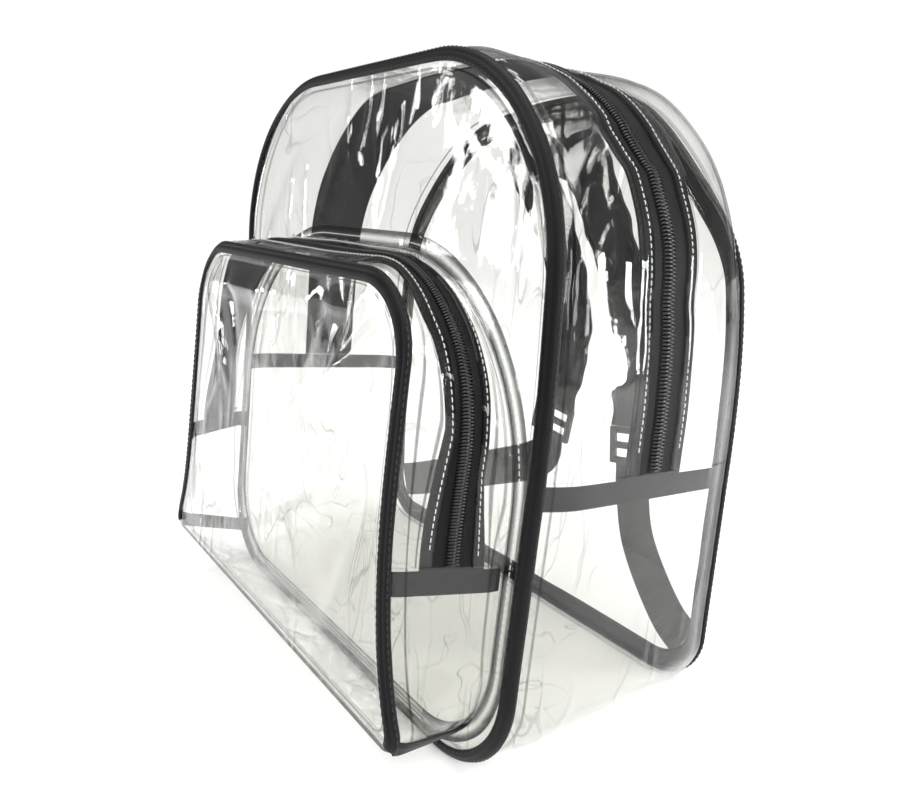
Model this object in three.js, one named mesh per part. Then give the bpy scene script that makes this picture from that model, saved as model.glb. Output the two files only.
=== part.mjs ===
// A clear stadium backpack: a soft box of clear PVC sheet whose seams are bound in black tape.
// Millimetres, +Z up. The origin is the middle of the flat base, +X is the wearer's left, -Y is the front
// with the pocket, and +Y is the back with the shoulder straps.
import * as THREE from 'three';

// Sheet, tape and clearance
const SHEET = 1.0;              // clear PVC
const BAND = 1.0;               // woven zip tape and joint tape
const GAP = 0.3;                // between neighbouring pieces
const LAYER = (SHEET + BAND) / 2 + GAP;   // from a sheet's middle to the tape behind it
const CLEAR_OF_SHEET = SHEET / 2 + GAP;   // from a sheet's middle to the piece that lies on it

// Folded binding tape: two lobes, one on the panel and one on the gusset, and a groove between them
const BINDING = { leg: 4.4, thick: 1.5, groove: 1.1 };
const POCKET_BINDING = { leg: 3.6, thick: 1.2, groove: 0.9 };

// Gussets stand out of the straight line between their seams, from a hem's width inside each seam
const BODY_GUSSET = { hem: 22, cheek: 6 };
const POCKET_GUSSET = { hem: 7, cheek: 2 };

// Main compartment. The base hangs just below the bound seams, so that it is what the bag stands on.
const BODY_HEIGHT = 309;
const BODY_HALF_WIDTH = 149;
const BODY_DEPTH = 133;         // at the base
const FRONT_LEAN = 0.13;        // backward travel of the front for each mm of height
const BACK_LEAN = 0.07;
const TOP_RADIUS = 90;
const BASE_RADIUS = 44;
const BASE_DROP = (BINDING.thick + 2 * GAP) / (1 - BINDING.leg / BODY_GUSSET.hem);
const BASE_LEVEL = BASE_DROP + SHEET / 2; // height of the lowest seams
const FRONT_SWAY = -10;         // the soft top leans this far to one side
const BACK_INSET = { side: 1, top: 10 };   // how much smaller the back is than the front
const BACK_HALF_WIDTH = BODY_HALF_WIDTH - BACK_INSET.side;
const BACK_HEIGHT = BODY_HEIGHT - BACK_INSET.top;
const BACK_TOP_RADIUS = 90;
const BACK_BASE_RADIUS = 28;
const BACK_SWAY = -6;
const BACK_SAG = { deep: 28, wide: 85 };  // slump of its top corner on the -X side, and the reach of that

// Front pocket
const POCKET_DEPTH = 46;
const POCKET_TOP = 219;         // top of its front, above the floor
const POCKET_BOTTOM = 36;
const POCKET_HALF_WIDTH = 114;
const POCKET_RADIUS = 34;
const POCKET_FOOT_RADIUS = 12;
const POCKET_FLARE = 26;        // spread of each bottom corner of its front
const POCKET_SWAY = 4;
const POCKET_SPREAD = { side: 24, top: 4 };    // how much larger its seam on the front panel is
const POCKET_SEAM_TOP = POCKET_TOP + POCKET_SPREAD.top;
const POCKET_SEAM_BOTTOM = 14;
const POCKET_SEAM_HALF_WIDTH = POCKET_HALF_WIDTH + POCKET_SPREAD.side;
const POCKET_SEAM_RADIUS = 98;

// Zips. A band is the whole woven tape, and exposed is what shows between the sheets that lap it.
const MAIN_ZIP = { place: 0.51, band: 36, exposed: 22, coil: 8, proud: 2.4 };
const POCKET_ZIP = { place: 0.55, band: 26, exposed: 16, coil: 6, proud: 2.0 };
const SLIDER = { long: 12, wide: 9, high: 4, pull: 26, plate: 1.4 };

// Joint tapes, where each zip ends and the lower gusset begins
const TAPE_HEIGHT = 10;
const TAPE_LAP = 2;             // the lower gusset's edge stands this far above its tape
const BODY_TAPE_TOP = { front: 140, back: 124 };
const POCKET_TAPE_TOP = { front: 106, back: 103 };

// Shoulder straps: a padded upper part, a buckle, and webbing to the bottom corner
const STRAP = { wide: 32, thick: 4 };
const WEBBING = { wide: 25, thick: 1.6 };
const BUCKLE = { wide: 34, long: 22, thick: 3.2, bar: 4, clear: 0.4 };
const LOOP = { wide: 20, thick: 1.6, span: 50, tab: 10, off: 24, droop: 12, place: 0.925, seat: 3.2 };
const STRAP_SLACK = 20;         // how far a strap stands off the back

// Clear sheet is grey-white, tape and webbing black
const CLEAR = { color: 0xeef1f2, roughness: 0.08, metalness: 0, transparent: true, opacity: 0.3 };
const TAPE = { color: 0x15161a, roughness: 0.75, metalness: 0 };
const COIL = { color: 0x1b1b1c, roughness: 0.45, metalness: 0 };
const WEB = { color: 0x18191b, roughness: 0.8, metalness: 0 };
const MOULDED = { color: 0x1d1d1f, roughness: 0.4, metalness: 0 };
const ENAMEL = { color: 0x202022, roughness: 0.35, metalness: 0.6 };

const bag = new THREE.Group();
const vec = (x, y, z) => new THREE.Vector3(x, y, z);
const mix = (a, b, t) => a + (b - a) * t;

// Adds one closed solid as a named mesh, with its faces turned outwards.
function addSolid(name, points, faces, finish) {
  let volume = 0;
  for (const [a, b, c] of faces) volume += points[a].dot(points[b].clone().cross(points[c]));
  const index = faces.flatMap(([a, b, c]) => (volume > 0 ? [a, b, c] : [a, c, b]));
  const geometry = new THREE.BufferGeometry().setFromPoints(points);
  geometry.setIndex(index);
  geometry.computeVertexNormals();
  const mesh = new THREE.Mesh(geometry, new THREE.MeshStandardMaterial(finish));
  mesh.name = name;
  bag.add(mesh);
}

// Joins equal rings of points into one solid. A loop closes on itself, and an open run takes end caps.
function addSkin(name, rings, caps, loop, finish) {
  const size = rings[0].length;
  const faces = [];
  const spans = loop ? rings.length : rings.length - 1;
  for (let i = 0; i < spans; i++) {
    const here = i * size;
    const next = ((i + 1) % rings.length) * size;
    for (let k = 0; k < size; k++) {
      const m = (k + 1) % size;
      faces.push([here + k, next + k, next + m], [here + k, next + m, here + m]);
    }
  }
  if (!loop) {
    const last = (rings.length - 1) * size;
    for (const [a, b, c] of caps) {
      faces.push([a, b, c], [last + a, last + c, last + b]);
    }
  }
  addSolid(name, rings.flat(), faces, finish);
}

// A strip of sheet: rows[i][k] are its points, and normals[i] says which way each row's thickness goes.
function addStrip(name, rows, normals, thick, finish) {
  const count = rows[0].length;
  const rings = rows.map((row, i) => {
    const side = (s) => row.map((p) => p.clone().addScaledVector(normals[i], (s * thick) / 2));
    return [...side(1), ...side(-1).reverse()];
  });
  const caps = [];
  for (let k = 0; k < count - 1; k++) {
    const under = 2 * count - 1 - k;
    caps.push([k, k + 1, under], [k + 1, under - 1, under]);
  }
  addSkin(name, rings, caps, false, finish);
}

// A section drawn as [a, b] pairs, swept along frames that each have a place p and directions a and b.
function addSweep(name, section, frames, loop, finish) {
  const rings = frames.map((f) => section.map(([a, b]) => (
    f.p.clone().addScaledVector(f.a, a).addScaledVector(f.b, b))));
  const outlined = section.map(([a, b]) => new THREE.Vector2(a, b));
  const clockwise = THREE.ShapeUtils.isClockWise(outlined);
  const caps = THREE.ShapeUtils.triangulateShape(outlined, [])
    .map(([a, b, c]) => (clockwise ? [a, c, b] : [a, b, c]));
  addSkin(name, rings, caps, loop, finish);
}

// A run of points from a to b in equal steps, without its last point.
const steps = (a, b, count, at) => Array.from({ length: count }, (_, k) => at(mix(a, b, k / count)));

// One panel's seam outline from the middle of its base, up the +X side, over the top and down again.
// Its marks say where the joint tape and the top corner fall, the same for front and back outlines.
const SEGMENTS = { base: 3, foot: 5, low: 4, tape: 1, side: 4, corner: 9, top: 3 };
const MARK = {};
MARK.tapeLow = SEGMENTS.base + SEGMENTS.foot + SEGMENTS.low;
MARK.tapeTop = MARK.tapeLow + SEGMENTS.tape;
MARK.cornerLow = MARK.tapeTop + SEGMENTS.side;
MARK.cornerTop = MARK.cornerLow + SEGMENTS.corner;
MARK.middle = MARK.cornerTop + SEGMENTS.top;

function outline({ bottom, top, halfWidth, topRadius, baseRadius, tapeTop, sway = 0, flare = () => 0 }) {
  const arc = (cx, cz, r) => (angle) => [cx + r * Math.cos(angle), cz + r * Math.sin(angle)];
  const foot = arc(halfWidth - baseRadius, bottom + baseRadius, baseRadius);
  const corner = arc(halfWidth - topRadius, top - topRadius, topRadius);
  const side = (z) => [halfWidth, z];
  const half = [
    ...steps(0, halfWidth - baseRadius, SEGMENTS.base, (x) => [x, bottom]),
    ...steps(-Math.PI / 2, 0, SEGMENTS.foot, foot),
    ...steps(bottom + baseRadius, tapeTop - TAPE_HEIGHT, SEGMENTS.low, side),
    ...steps(tapeTop - TAPE_HEIGHT, tapeTop, SEGMENTS.tape, side),
    ...steps(tapeTop, top - topRadius, SEGMENTS.side, side),
    ...steps(0, Math.PI / 2, SEGMENTS.corner, corner),
    ...steps(halfWidth - topRadius, 0, SEGMENTS.top, (x) => [x, top]),
    [0, top],
  ].map(([x, z]) => [x + flare(z) * Math.sign(x), z]);
  const mirrored = half.slice(1, -1).reverse().map(([x, z]) => [-x, z]);
  const leaning = (z) => sway * THREE.MathUtils.smoothstep(z, tapeTop, top);
  return [...half, ...mirrored].map(([x, z]) => [x + leaning(z), z]);
}

// Outward directions in the X-Z plane for a closed outline.
function outwards(points) {
  return points.map((_, i) => {
    const [ax, az] = points.at(i - 1);
    const [bx, bz] = points[(i + 1) % points.length];
    return vec(bz - az, 0, ax - bx).normalize();
  });
}

// A fold is a ridge from one place to another. x, wide and high are shares of the panel's half width, and
// z is a share of its height.
function ridge(folds, halfWidth, height) {
  return (x, z) => {
    let out = 0;
    for (const { x0, z0, x1, z1, wide, high } of folds) {
      const ax = x0 * halfWidth;
      const az = z0 * height;
      const dx = x1 * halfWidth - ax;
      const dz = z1 * height - az;
      const along = THREE.MathUtils.clamp(((x - ax) * dx + (z - az) * dz) / (dx * dx + dz * dz), 0, 1);
      const away = Math.hypot(x - ax - along * dx, z - az - along * dz) / (wide * halfWidth);
      out += high * halfWidth * Math.exp(-away * away) * (1 - 0.5 * along);
    }
    return out;
  };
}

// A panel: rings of its outline drawn in to its middle. It lies in plane(z), and stands out of it towards
// side (-1 front, 1 back) by relief(x, z), which fades to nothing at the bound edge.
function addPanel(name, edge, plane, side, relief, ringShares) {
  const directions = outwards(edge);
  const zs = edge.map(([, z]) => z);
  const middle = (Math.min(...zs) + Math.max(...zs)) / 2;
  const rim = edge.map(([x, z], i) => (
    [x + (directions[i].x * SHEET) / 2, z + (directions[i].z * SHEET) / 2]));
  const drawnIn = (share) => rim.map(([x, z]) => [x * share, mix(middle, z, share), share]);
  const spots = [...ringShares.flatMap(drawnIn), [0, middle, 0]];
  const normal = vec(0, -1, plane(1) - plane(0)).normalize();
  const places = (face) => spots.map(([x, z, share]) => {
    const out = side * relief(x, z) * THREE.MathUtils.smoothstep(1 - share, BOUND, FADE);
    return vec(x, plane(z) + out, z).addScaledVector(normal, (face * SHEET) / 2);
  });
  const faces = [];
  const count = edge.length;
  const under = spots.length;
  const centre = spots.length - 1;
  const last = (ringShares.length - 1) * count;
  for (let i = 0; i < count; i++) {
    const n = (i + 1) % count;
    for (let r = 0; r < last; r += count) {
      const [a, b, c, d] = [r + i, r + n, r + count + n, r + count + i];
      faces.push([a, b, c], [a, c, d]);
      faces.push([under + a, under + c, under + b], [under + a, under + d, under + c]);
    }
    faces.push([last + i, last + n, centre], [under + last + i, under + centre, under + last + n]);
    faces.push([i, under + i, n], [under + i, under + n, n]);
  }
  addSolid(name, [...places(1), ...places(-1)], faces, CLEAR);
}

// Panel surfaces

const BOUND = 0.06;             // share of a panel that lies flat under its binding
const FADE = 0.3;               // share over which its folds fade out towards there
const PANEL_RINGS = [1, 1 - BOUND, 0.8, 0.5, 0.2];
const FRONT_FOLDS = [
  { x0: 0.95, z0: 0.80, x1: 0.20, z1: 0.98, wide: 0.107, high: -0.017 },
  { x0: -0.95, z0: 0.72, x1: -0.55, z1: 0.95, wide: 0.094, high: -0.013 },
];
const POCKET_FOLDS = [
  { x0: 0.98, z0: 0.97, x1: 0.15, z1: 0.62, wide: 0.079, high: 0.044 },
  { x0: 0.45, z0: 0.99, x1: 0.20, z1: 0.72, wide: 0.070, high: -0.048 },
  { x0: -0.95, z0: 0.98, x1: -0.55, z1: 0.66, wide: 0.088, high: 0.035 },
  { x0: 0.92, z0: 0.60, x1: 0.55, z1: 0.18, wide: 0.079, high: 0.026 },
  { x0: -0.60, z0: 0.10, x1: 0.20, z1: 0.34, wide: 0.105, high: -0.026 },
];
const frontDent = ridge(FRONT_FOLDS, BODY_HALF_WIDTH, BODY_HEIGHT);
const pocketDent = ridge(POCKET_FOLDS, POCKET_HALF_WIDTH, POCKET_TOP);
const flat = () => 0;
const frontPlane = (z) => -BODY_DEPTH / 2 + FRONT_LEAN * (z - BASE_LEVEL);
const backPlane = (z) => BODY_DEPTH / 2 + BACK_LEAN * (z - BASE_LEVEL);
const pocketPlane = (z) => frontPlane(z) - POCKET_DEPTH;
const seamPlane = (z) => frontPlane(z) - CLEAR_OF_SHEET - GAP;

// Seam outlines

const frontEdge = outline({
  bottom: BASE_LEVEL, top: BODY_HEIGHT, halfWidth: BODY_HALF_WIDTH, sway: FRONT_SWAY,
  topRadius: TOP_RADIUS, baseRadius: BASE_RADIUS, tapeTop: BODY_TAPE_TOP.front,
});
const backEdge = outline({
  bottom: BASE_LEVEL, top: BACK_HEIGHT, halfWidth: BACK_HALF_WIDTH, sway: BACK_SWAY,
  topRadius: BACK_TOP_RADIUS, baseRadius: BACK_BASE_RADIUS, tapeTop: BODY_TAPE_TOP.back,
}).map(([x, z]) => {
  const inset = BACK_TOP_RADIUS * (1 - Math.SQRT1_2);
  const away = Math.hypot(x + BACK_HALF_WIDTH - inset, z - BACK_HEIGHT + inset) / BACK_SAG.wide;
  const sag = BACK_SAG.deep * Math.SQRT1_2 * Math.exp(-away * away);
  return [x + sag, z - sag];
});
const pocketEdge = outline({
  bottom: POCKET_BOTTOM, top: POCKET_TOP, halfWidth: POCKET_HALF_WIDTH, sway: POCKET_SWAY,
  topRadius: POCKET_RADIUS, baseRadius: POCKET_FOOT_RADIUS, tapeTop: POCKET_TAPE_TOP.front,
  flare: (z) => POCKET_FLARE * Math.exp((POCKET_BOTTOM - z) / POCKET_BOTTOM),
});
const pocketSeam = outline({
  bottom: POCKET_SEAM_BOTTOM, top: POCKET_SEAM_TOP, halfWidth: POCKET_SEAM_HALF_WIDTH,
  topRadius: POCKET_SEAM_RADIUS, baseRadius: BASE_RADIUS, tapeTop: POCKET_TAPE_TOP.back,
});

// A gusset joins two outlines. at(i, mm) is its place that far behind the first outline at index i.
function gusset(first, second, firstPlane, secondPlane, { hem, rise }) {
  const firstOut = outwards(first);
  const secondOut = outwards(second);
  const count = first.length;
  const ends = (i) => {
    const k = ((i % count) + count) % count;
    const a = vec(first[k][0], firstPlane(first[k][1]), first[k][1]);
    const b = vec(second[k][0], secondPlane(second[k][1]), second[k][1]);
    return { k, a, b, depth: a.distanceTo(b) };
  };
  const normal = (i) => {
    const { k, a, b } = ends(i);
    const out = firstOut[k].clone().add(secondOut[k]).normalize();
    const along = b.sub(a).normalize();
    return out.addScaledVector(along, -out.dot(along)).normalize();
  };
  const at = (i, mm, offset = 0) => {
    const { k, a, b, depth } = ends(i);
    const inside = THREE.MathUtils.clamp(Math.min(mm, depth - mm) / hem, 0, 1);
    return a.lerp(b, mm / depth).addScaledVector(normal(i), offset + rise(k) * inside);
  };
  const depth = (i) => ends(i).depth;
  const frontwards = (i) => at(i, 0).sub(at(i, hem)).normalize();
  const backwards = (i) => at(i, depth(i)).sub(at(i, depth(i) - hem)).normalize();
  return { at, normal, depth, hem, frontwards, backwards };
}

// How far each place of the main gusset stands out: a flat base, then cheeks from the bottom corners up
function bodyRise(k) {
  const fromMiddle = Math.min(k, frontEdge.length - k);
  const climb = THREE.MathUtils.smoothstep(fromMiddle, SEGMENTS.base + 1, SEGMENTS.base + SEGMENTS.foot);
  return mix(BASE_DROP, BODY_GUSSET.cheek, climb);
}
const body = gusset(frontEdge, backEdge, frontPlane, backPlane, { hem: BODY_GUSSET.hem, rise: bodyRise });
const pocket = gusset(pocketEdge, pocketSeam, pocketPlane, seamPlane,
  { hem: POCKET_GUSSET.hem, rise: () => POCKET_GUSSET.cheek });

// Pieces of a zipped gusset, from one joint tape over the top to the other

function range(from, to) {
  return Array.from({ length: to - from + 1 }, (_, k) => from + k);
}
const zipRun = range(MARK.tapeTop, 2 * MARK.middle - MARK.tapeTop);
const lowRun = range(-MARK.tapeTop, MARK.tapeTop);

// Rows across a gusset at each index. The first and last rows are moved inwards along the run by lift mm.
function rowsOf(shape, run, columns, offset, lift) {
  const rows = run.map((i) => columns(i).map((mm) => shape.at(i, mm, offset)));
  const shift = (row, next) => row.map((p, k) => {
    const along = next[k].clone().sub(p);
    return p.clone().addScaledVector(along, lift / along.length());
  });
  const last = rows.length - 1;
  return [shift(rows[0], rows[1]), ...rows.slice(1, last), shift(rows[last], rows[last - 1])];
}

function addZippedGusset(prefix, shape, zip, edgeGap) {
  const middle = (i) => shape.depth(i) * zip.place;
  const lap = zip.exposed / 2;
  const strip = (name, columns, offset, lift, thick, finish) => addStrip(
    prefix + name, rowsOf(shape, zipRun, columns, offset, lift), zipRun.map(shape.normal), thick, finish);
  const toZip = TAPE_LAP + GAP;
  strip('gusset_front', (i) => [edgeGap.front, shape.hem, middle(i) - lap], 0, toZip, SHEET, CLEAR);
  strip('gusset_back', (i) => [middle(i) + lap, shape.depth(i) - shape.hem, shape.depth(i) - edgeGap.back],
    0, toZip, SHEET, CLEAR);
  const band = (i) => [-0.5, 0, 0.5].map((share) => middle(i) + share * zip.band);
  strip('zip_tape', band, -LAYER, GAP, BAND, TAPE);
  const floor = BAND / 2 + GAP - LAYER;
  const section = [[-0.5, 0], [-0.3, zip.proud], [0.3, zip.proud], [0.5, 0]];
  const across = (i) => section.map(([share]) => middle(i) + share * zip.coil);
  const feet = rowsOf(shape, zipRun, across, floor, toZip);
  const rings = feet.map((row, n) => row.map((p, k) => (
    p.clone().addScaledVector(shape.normal(zipRun[n]), section[k][1]))));
  addSkin(`${prefix}zip_coil`, rings, [[0, 1, 2], [0, 2, 3]], false, COIL);
}

function addLowerGusset(name, shape, edgeGap) {
  const columns = (i) => [
    edgeGap.front, shape.hem, shape.depth(i) - shape.hem, shape.depth(i) - edgeGap.back,
  ];
  addStrip(name, rowsOf(shape, lowRun, columns, 0, -TAPE_LAP), lowRun.map(shape.normal), SHEET, CLEAR);
}

function addJointTapes(prefix, shape, edgeGap) {
  for (const [side, low, top] of [
    ['left', MARK.tapeLow, MARK.tapeTop], ['right', -MARK.tapeLow, -MARK.tapeTop]]) {
    const columns = (i) => [
      edgeGap.front + LAYER, shape.hem, shape.depth(i) - shape.hem, shape.depth(i) - edgeGap.back - LAYER,
    ];
    const rows = [low, top].map((i) => columns(i).map((mm) => shape.at(i, mm, -LAYER - GAP)));
    addStrip(`${prefix}joint_tape_${side}`, rows, [low, top].map(shape.normal), BAND, TAPE);
  }
}

// A slider with its pull laid down along the zip, drawn from the side and pressed out to its width
function addSlider(name, shape, zip, index) {
  const middle = shape.depth(index) * zip.place;
  const place = shape.at(index, middle);
  const down = shape.at(index - Math.sign(MARK.middle - index), middle).sub(place).normalize();
  const out = shape.normal(index);
  const across = new THREE.Vector3().crossVectors(down, out);
  const low = BAND / 2 + GAP - LAYER + zip.proud + GAP;
  const { long, wide, high, pull, plate } = SLIDER;
  const profile = [
    [-long / 2, low + high * 0.4], [-long * 0.3, low], [long * 0.3, low], [long / 2, low + high * 0.4],
    [long / 2, low + high - plate], [pull, low + high - plate], [pull, low + high],
    [long * 0.2, low + high], [0, low + high + plate], [-long * 0.35, low + high],
  ];
  const cheek = (side) => place.clone().addScaledVector(across, (side * wide) / 2);
  const frames = [-1, 1].map((side) => ({ p: cheek(side), a: down, b: out }));
  addSweep(name, profile, frames, false, ENAMEL);
}

// A binding wraps the corner between a panel and a gusset. Each ring runs from the end of its leg on the
// panel, over the lobe there, the groove at the corner and the other lobe, to the end on the gusset.
function addBinding(name, { leg, thick, groove }, edge, plane, gussetWay, run, loop) {
  const directions = outwards(edge);
  const lean = plane(1) - plane(0);
  const normal = vec(0, -1, lean).normalize();
  const near = CLEAR_OF_SHEET;
  const far = near + thick;
  const crest = leg * 0.6;
  const rings = run.map((i) => {
    const [x, z] = edge[i];
    const { x: dx, z: dz } = directions[i];
    const seam = vec(x, plane(z), z);
    const panelWay = vec(dx, lean * dz, dz).normalize();
    const tangent = new THREE.Vector3().crossVectors(normal, panelWay);
    const ahead = gussetWay(i);
    ahead.addScaledVector(tangent, -ahead.dot(tangent)).normalize();
    const cosine = panelWay.dot(ahead);
    const skew = Math.sqrt(1 - cosine * cosine);
    const offPanel = ahead.clone().addScaledVector(panelWay, -cosine).divideScalar(skew);
    const offGusset = panelWay.clone().addScaledVector(ahead, -cosine).divideScalar(skew);
    const corner = panelWay.clone().add(ahead).divideScalar(skew);
    const place = (along, mm, off, height) => (
      seam.clone().addScaledVector(along, -mm).addScaledVector(off, height));
    return [
      place(panelWay, leg, offPanel, near),
      place(panelWay, crest, offPanel, far),
      place(panelWay, 0, offPanel, far),
      seam.clone().addScaledVector(corner, far - groove),
      place(ahead, 0, offGusset, far),
      place(ahead, crest, offGusset, far),
      place(ahead, leg, offGusset, near),
      seam.clone().addScaledVector(corner, near),
    ];
  });
  const inner = rings[0].length - 1;
  const caps = Array.from({ length: inner - 1 }, (_, k) => [inner, k, k + 1]);
  addSkin(name, rings, caps, loop, TAPE);
}

// Straps, from the top seam down: shares of the back's half width and height, and of the slack
const LEFT_STRAP = {
  padded: [
    { x: 0.16, z: 0.945, off: 0 }, { x: 0.30, z: 0.78, off: 0.35 }, { x: 0.42, z: 0.58, off: 1 },
    { x: 0.48, z: 0.40, off: 0.9 },
  ],
  webbing: [{ x: 0.62, z: 0.20, off: 0.4 }, { x: 0.84, z: 0.10, off: 0 }],
};
const RIGHT_STRAP = {
  padded: [
    { x: -0.18, z: 0.925, off: 0 }, { x: 0.02, z: 0.76, off: 0.35 }, { x: 0.08, z: 0.57, off: 1 },
    { x: 0.04, z: 0.40, off: 0.9 },
  ],
  webbing: [{ x: -0.38, z: 0.19, off: 0.4 }, { x: -0.84, z: 0.10, off: 0 }],
};
const STRAP_ROWS = 10;
const WEBBING_ROWS = 8;
const backOut = vec(0, 1, -BACK_LEAN).normalize();

function strapPoints(rows) {
  const lie = CLEAR_OF_SHEET + STRAP.thick / 2;
  return rows.map(({ x, z, off }) => {
    const height = z * BACK_HEIGHT;
    const spot = vec(x * BACK_HALF_WIDTH, backPlane(height), height);
    return spot.addScaledVector(backOut, lie + off * STRAP_SLACK);
  });
}

function strapFrames(curve, count) {
  return Array.from({ length: count + 1 }, (_, k) => {
    const along = curve.getTangentAt(k / count);
    const across = new THREE.Vector3().crossVectors(along, backOut).normalize();
    const off = new THREE.Vector3().crossVectors(across, along);
    return { p: curve.getPointAt(k / count), a: across, b: off, along };
  });
}

function bar({ wide, thick }) {
  const x = wide / 2;
  const y = thick / 2;
  return [[-x, -y], [-x, y], [x, y], [x, -y]];
}
function pad({ wide, thick }) {
  const edge = thick * 0.2;
  const crown = wide / 2 - thick;
  return [
    [-wide / 2, -edge], [-wide / 2, edge], [-crown, thick / 2], [crown, thick / 2],
    [wide / 2, edge], [wide / 2, -edge], [crown, -thick / 2], [-crown, -thick / 2],
  ];
}

function addStrap(side, { padded, webbing }) {
  const frames = strapFrames(new THREE.CatmullRomCurve3(strapPoints(padded)), STRAP_ROWS);
  addSweep(`shoulder_strap_${side}`, pad(STRAP), frames, false, WEB);
  const { p, a, b, along } = frames.at(-1);
  const below = (mm) => p.clone().addScaledVector(along, mm);
  const seat = below(BUCKLE.clear + BUCKLE.long / 2);
  addBuckle(`strap_buckle_${side}`, new THREE.Matrix4().makeBasis(a, along, b).setPosition(seat));
  const start = BUCKLE.long + 2 * BUCKLE.clear;
  const lead = [below(start), below(start + WEBBING.wide / 2)];
  const rest = new THREE.CatmullRomCurve3([...lead, ...strapPoints(webbing)]);
  addSweep(`strap_webbing_${side}`, bar(WEBBING), strapFrames(rest, WEBBING_ROWS), false, WEB);
}

// A three-bar buckle, flat, with its two slots across it
function addBuckle(name, place) {
  const { wide, long, thick, bar: rail } = BUCKLE;
  const frame = new THREE.Shape();
  frame.moveTo(-wide / 2, -long / 2).lineTo(wide / 2, -long / 2);
  frame.lineTo(wide / 2, long / 2).lineTo(-wide / 2, long / 2);
  const slot = (long - 3 * rail) / 2;
  for (const y of [-long / 2 + rail, rail / 2]) {
    const hole = new THREE.Path();
    const x = wide / 2 - rail;
    hole.moveTo(-x, y).lineTo(-x, y + slot).lineTo(x, y + slot).lineTo(x, y);
    frame.holes.push(hole);
  }
  const geometry = new THREE.ExtrudeGeometry(frame, { depth: thick, bevelEnabled: false });
  geometry.translate(0, 0, -thick / 2);
  geometry.applyMatrix4(place);
  const mesh = new THREE.Mesh(geometry, new THREE.MeshStandardMaterial(MOULDED));
  mesh.name = name;
  bag.add(mesh);
}

// The haul loop bridges the straps' top ends. Its tabs lie flat over them, and it droops between.
function addHaulLoop() {
  const half = LOOP.span / 2;
  const lie = CLEAR_OF_SHEET + STRAP.thick + LOOP.seat + LOOP.thick / 2;
  const up = vec(0, BACK_LEAN, 1).normalize();
  const spot = (share) => {
    const rise = Math.max(0, 1 - share * share) ** 2;
    const z = BACK_HEIGHT * LOOP.place - LOOP.droop * rise;
    return vec(share * half, backPlane(z), z).addScaledVector(backOut, lie + LOOP.off * rise);
  };
  const climb = [1 + LOOP.tab / half, 1, 0.8, 0.65, 0.5, 0.35, 0.18];
  const points = [...climb.map((share) => -share), 0, ...climb.toReversed()].map(spot);
  const frames = points.map((p, i) => {
    const along = (points[i + 1] ?? p).clone().sub(points[i - 1] ?? p).normalize();
    const across = up.clone().addScaledVector(along, -along.dot(up)).normalize();
    return { p, a: across, b: new THREE.Vector3().crossVectors(across, along) };
  });
  addSweep('haul_loop', bar(LOOP), frames, false, WEB);
}

const bodyGap = { front: CLEAR_OF_SHEET, back: CLEAR_OF_SHEET };
const pocketGap = { front: CLEAR_OF_SHEET + SHEET / 2, back: 0 };
const wholeLoop = range(0, frontEdge.length - 1);
const pocketBound = range(SEGMENTS.base + 2, 2 * MARK.middle - SEGMENTS.base - 2);

addPanel('front_panel', frontEdge, frontPlane, -1, frontDent, PANEL_RINGS);
addPanel('back_panel', backEdge, backPlane, 1, flat, [1]);
addPanel('pocket_front', pocketEdge, pocketPlane, -1, pocketDent, PANEL_RINGS);
addZippedGusset('', body, MAIN_ZIP, bodyGap);
addLowerGusset('lower_gusset', body, bodyGap);
addJointTapes('', body, bodyGap);
addSlider('zip_slider', body, MAIN_ZIP, 2 * MARK.middle - MARK.cornerLow + 1);
addZippedGusset('pocket_', pocket, POCKET_ZIP, pocketGap);
addLowerGusset('pocket_lower_gusset', pocket, pocketGap);
addJointTapes('pocket_', pocket, pocketGap);
addSlider('pocket_zip_slider', pocket, POCKET_ZIP, 2 * MARK.middle - MARK.tapeTop - 2);
addBinding('front_binding', BINDING, frontEdge, frontPlane, body.frontwards, wholeLoop, true);
addBinding('back_binding', BINDING, backEdge, backPlane, body.backwards, wholeLoop, true);
addBinding(
  'pocket_binding', POCKET_BINDING, pocketEdge, pocketPlane, pocket.frontwards, pocketBound, false);
addStrap('left', LEFT_STRAP);
addStrap('right', RIGHT_STRAP);
addHaulLoop();

export default bag;
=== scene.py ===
"""A clear stadium backpack: PVC sheet, twill binding on every seam, two arched coil zips, webbing straps."""

import math

import bmesh
import bpy
import numpy as np
from mathutils import Matrix, Vector, noise


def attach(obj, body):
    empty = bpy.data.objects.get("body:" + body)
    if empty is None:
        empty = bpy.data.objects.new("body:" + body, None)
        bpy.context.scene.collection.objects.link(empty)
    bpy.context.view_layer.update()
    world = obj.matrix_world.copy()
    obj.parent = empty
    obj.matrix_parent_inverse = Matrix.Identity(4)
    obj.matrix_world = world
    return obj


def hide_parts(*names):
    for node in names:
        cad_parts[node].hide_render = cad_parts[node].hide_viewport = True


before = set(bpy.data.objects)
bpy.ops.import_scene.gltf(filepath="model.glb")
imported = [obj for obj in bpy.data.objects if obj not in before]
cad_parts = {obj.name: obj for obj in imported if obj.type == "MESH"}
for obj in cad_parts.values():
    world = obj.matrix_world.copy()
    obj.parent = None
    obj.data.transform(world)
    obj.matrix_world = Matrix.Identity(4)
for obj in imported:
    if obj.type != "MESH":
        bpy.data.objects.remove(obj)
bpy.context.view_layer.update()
MM = 0.001

# Camera

# Where the lens stands and what it looks at, fitted to the photograph
CAMERA_PLACE = Vector((358.53, -238.06, 254.09)) * MM
CAMERA_AIM = Vector((161.24, -95.22, 185.85)) * MM
CAMERA_ROLL = 0.003
CAMERA_LENS = 30.6

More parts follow.
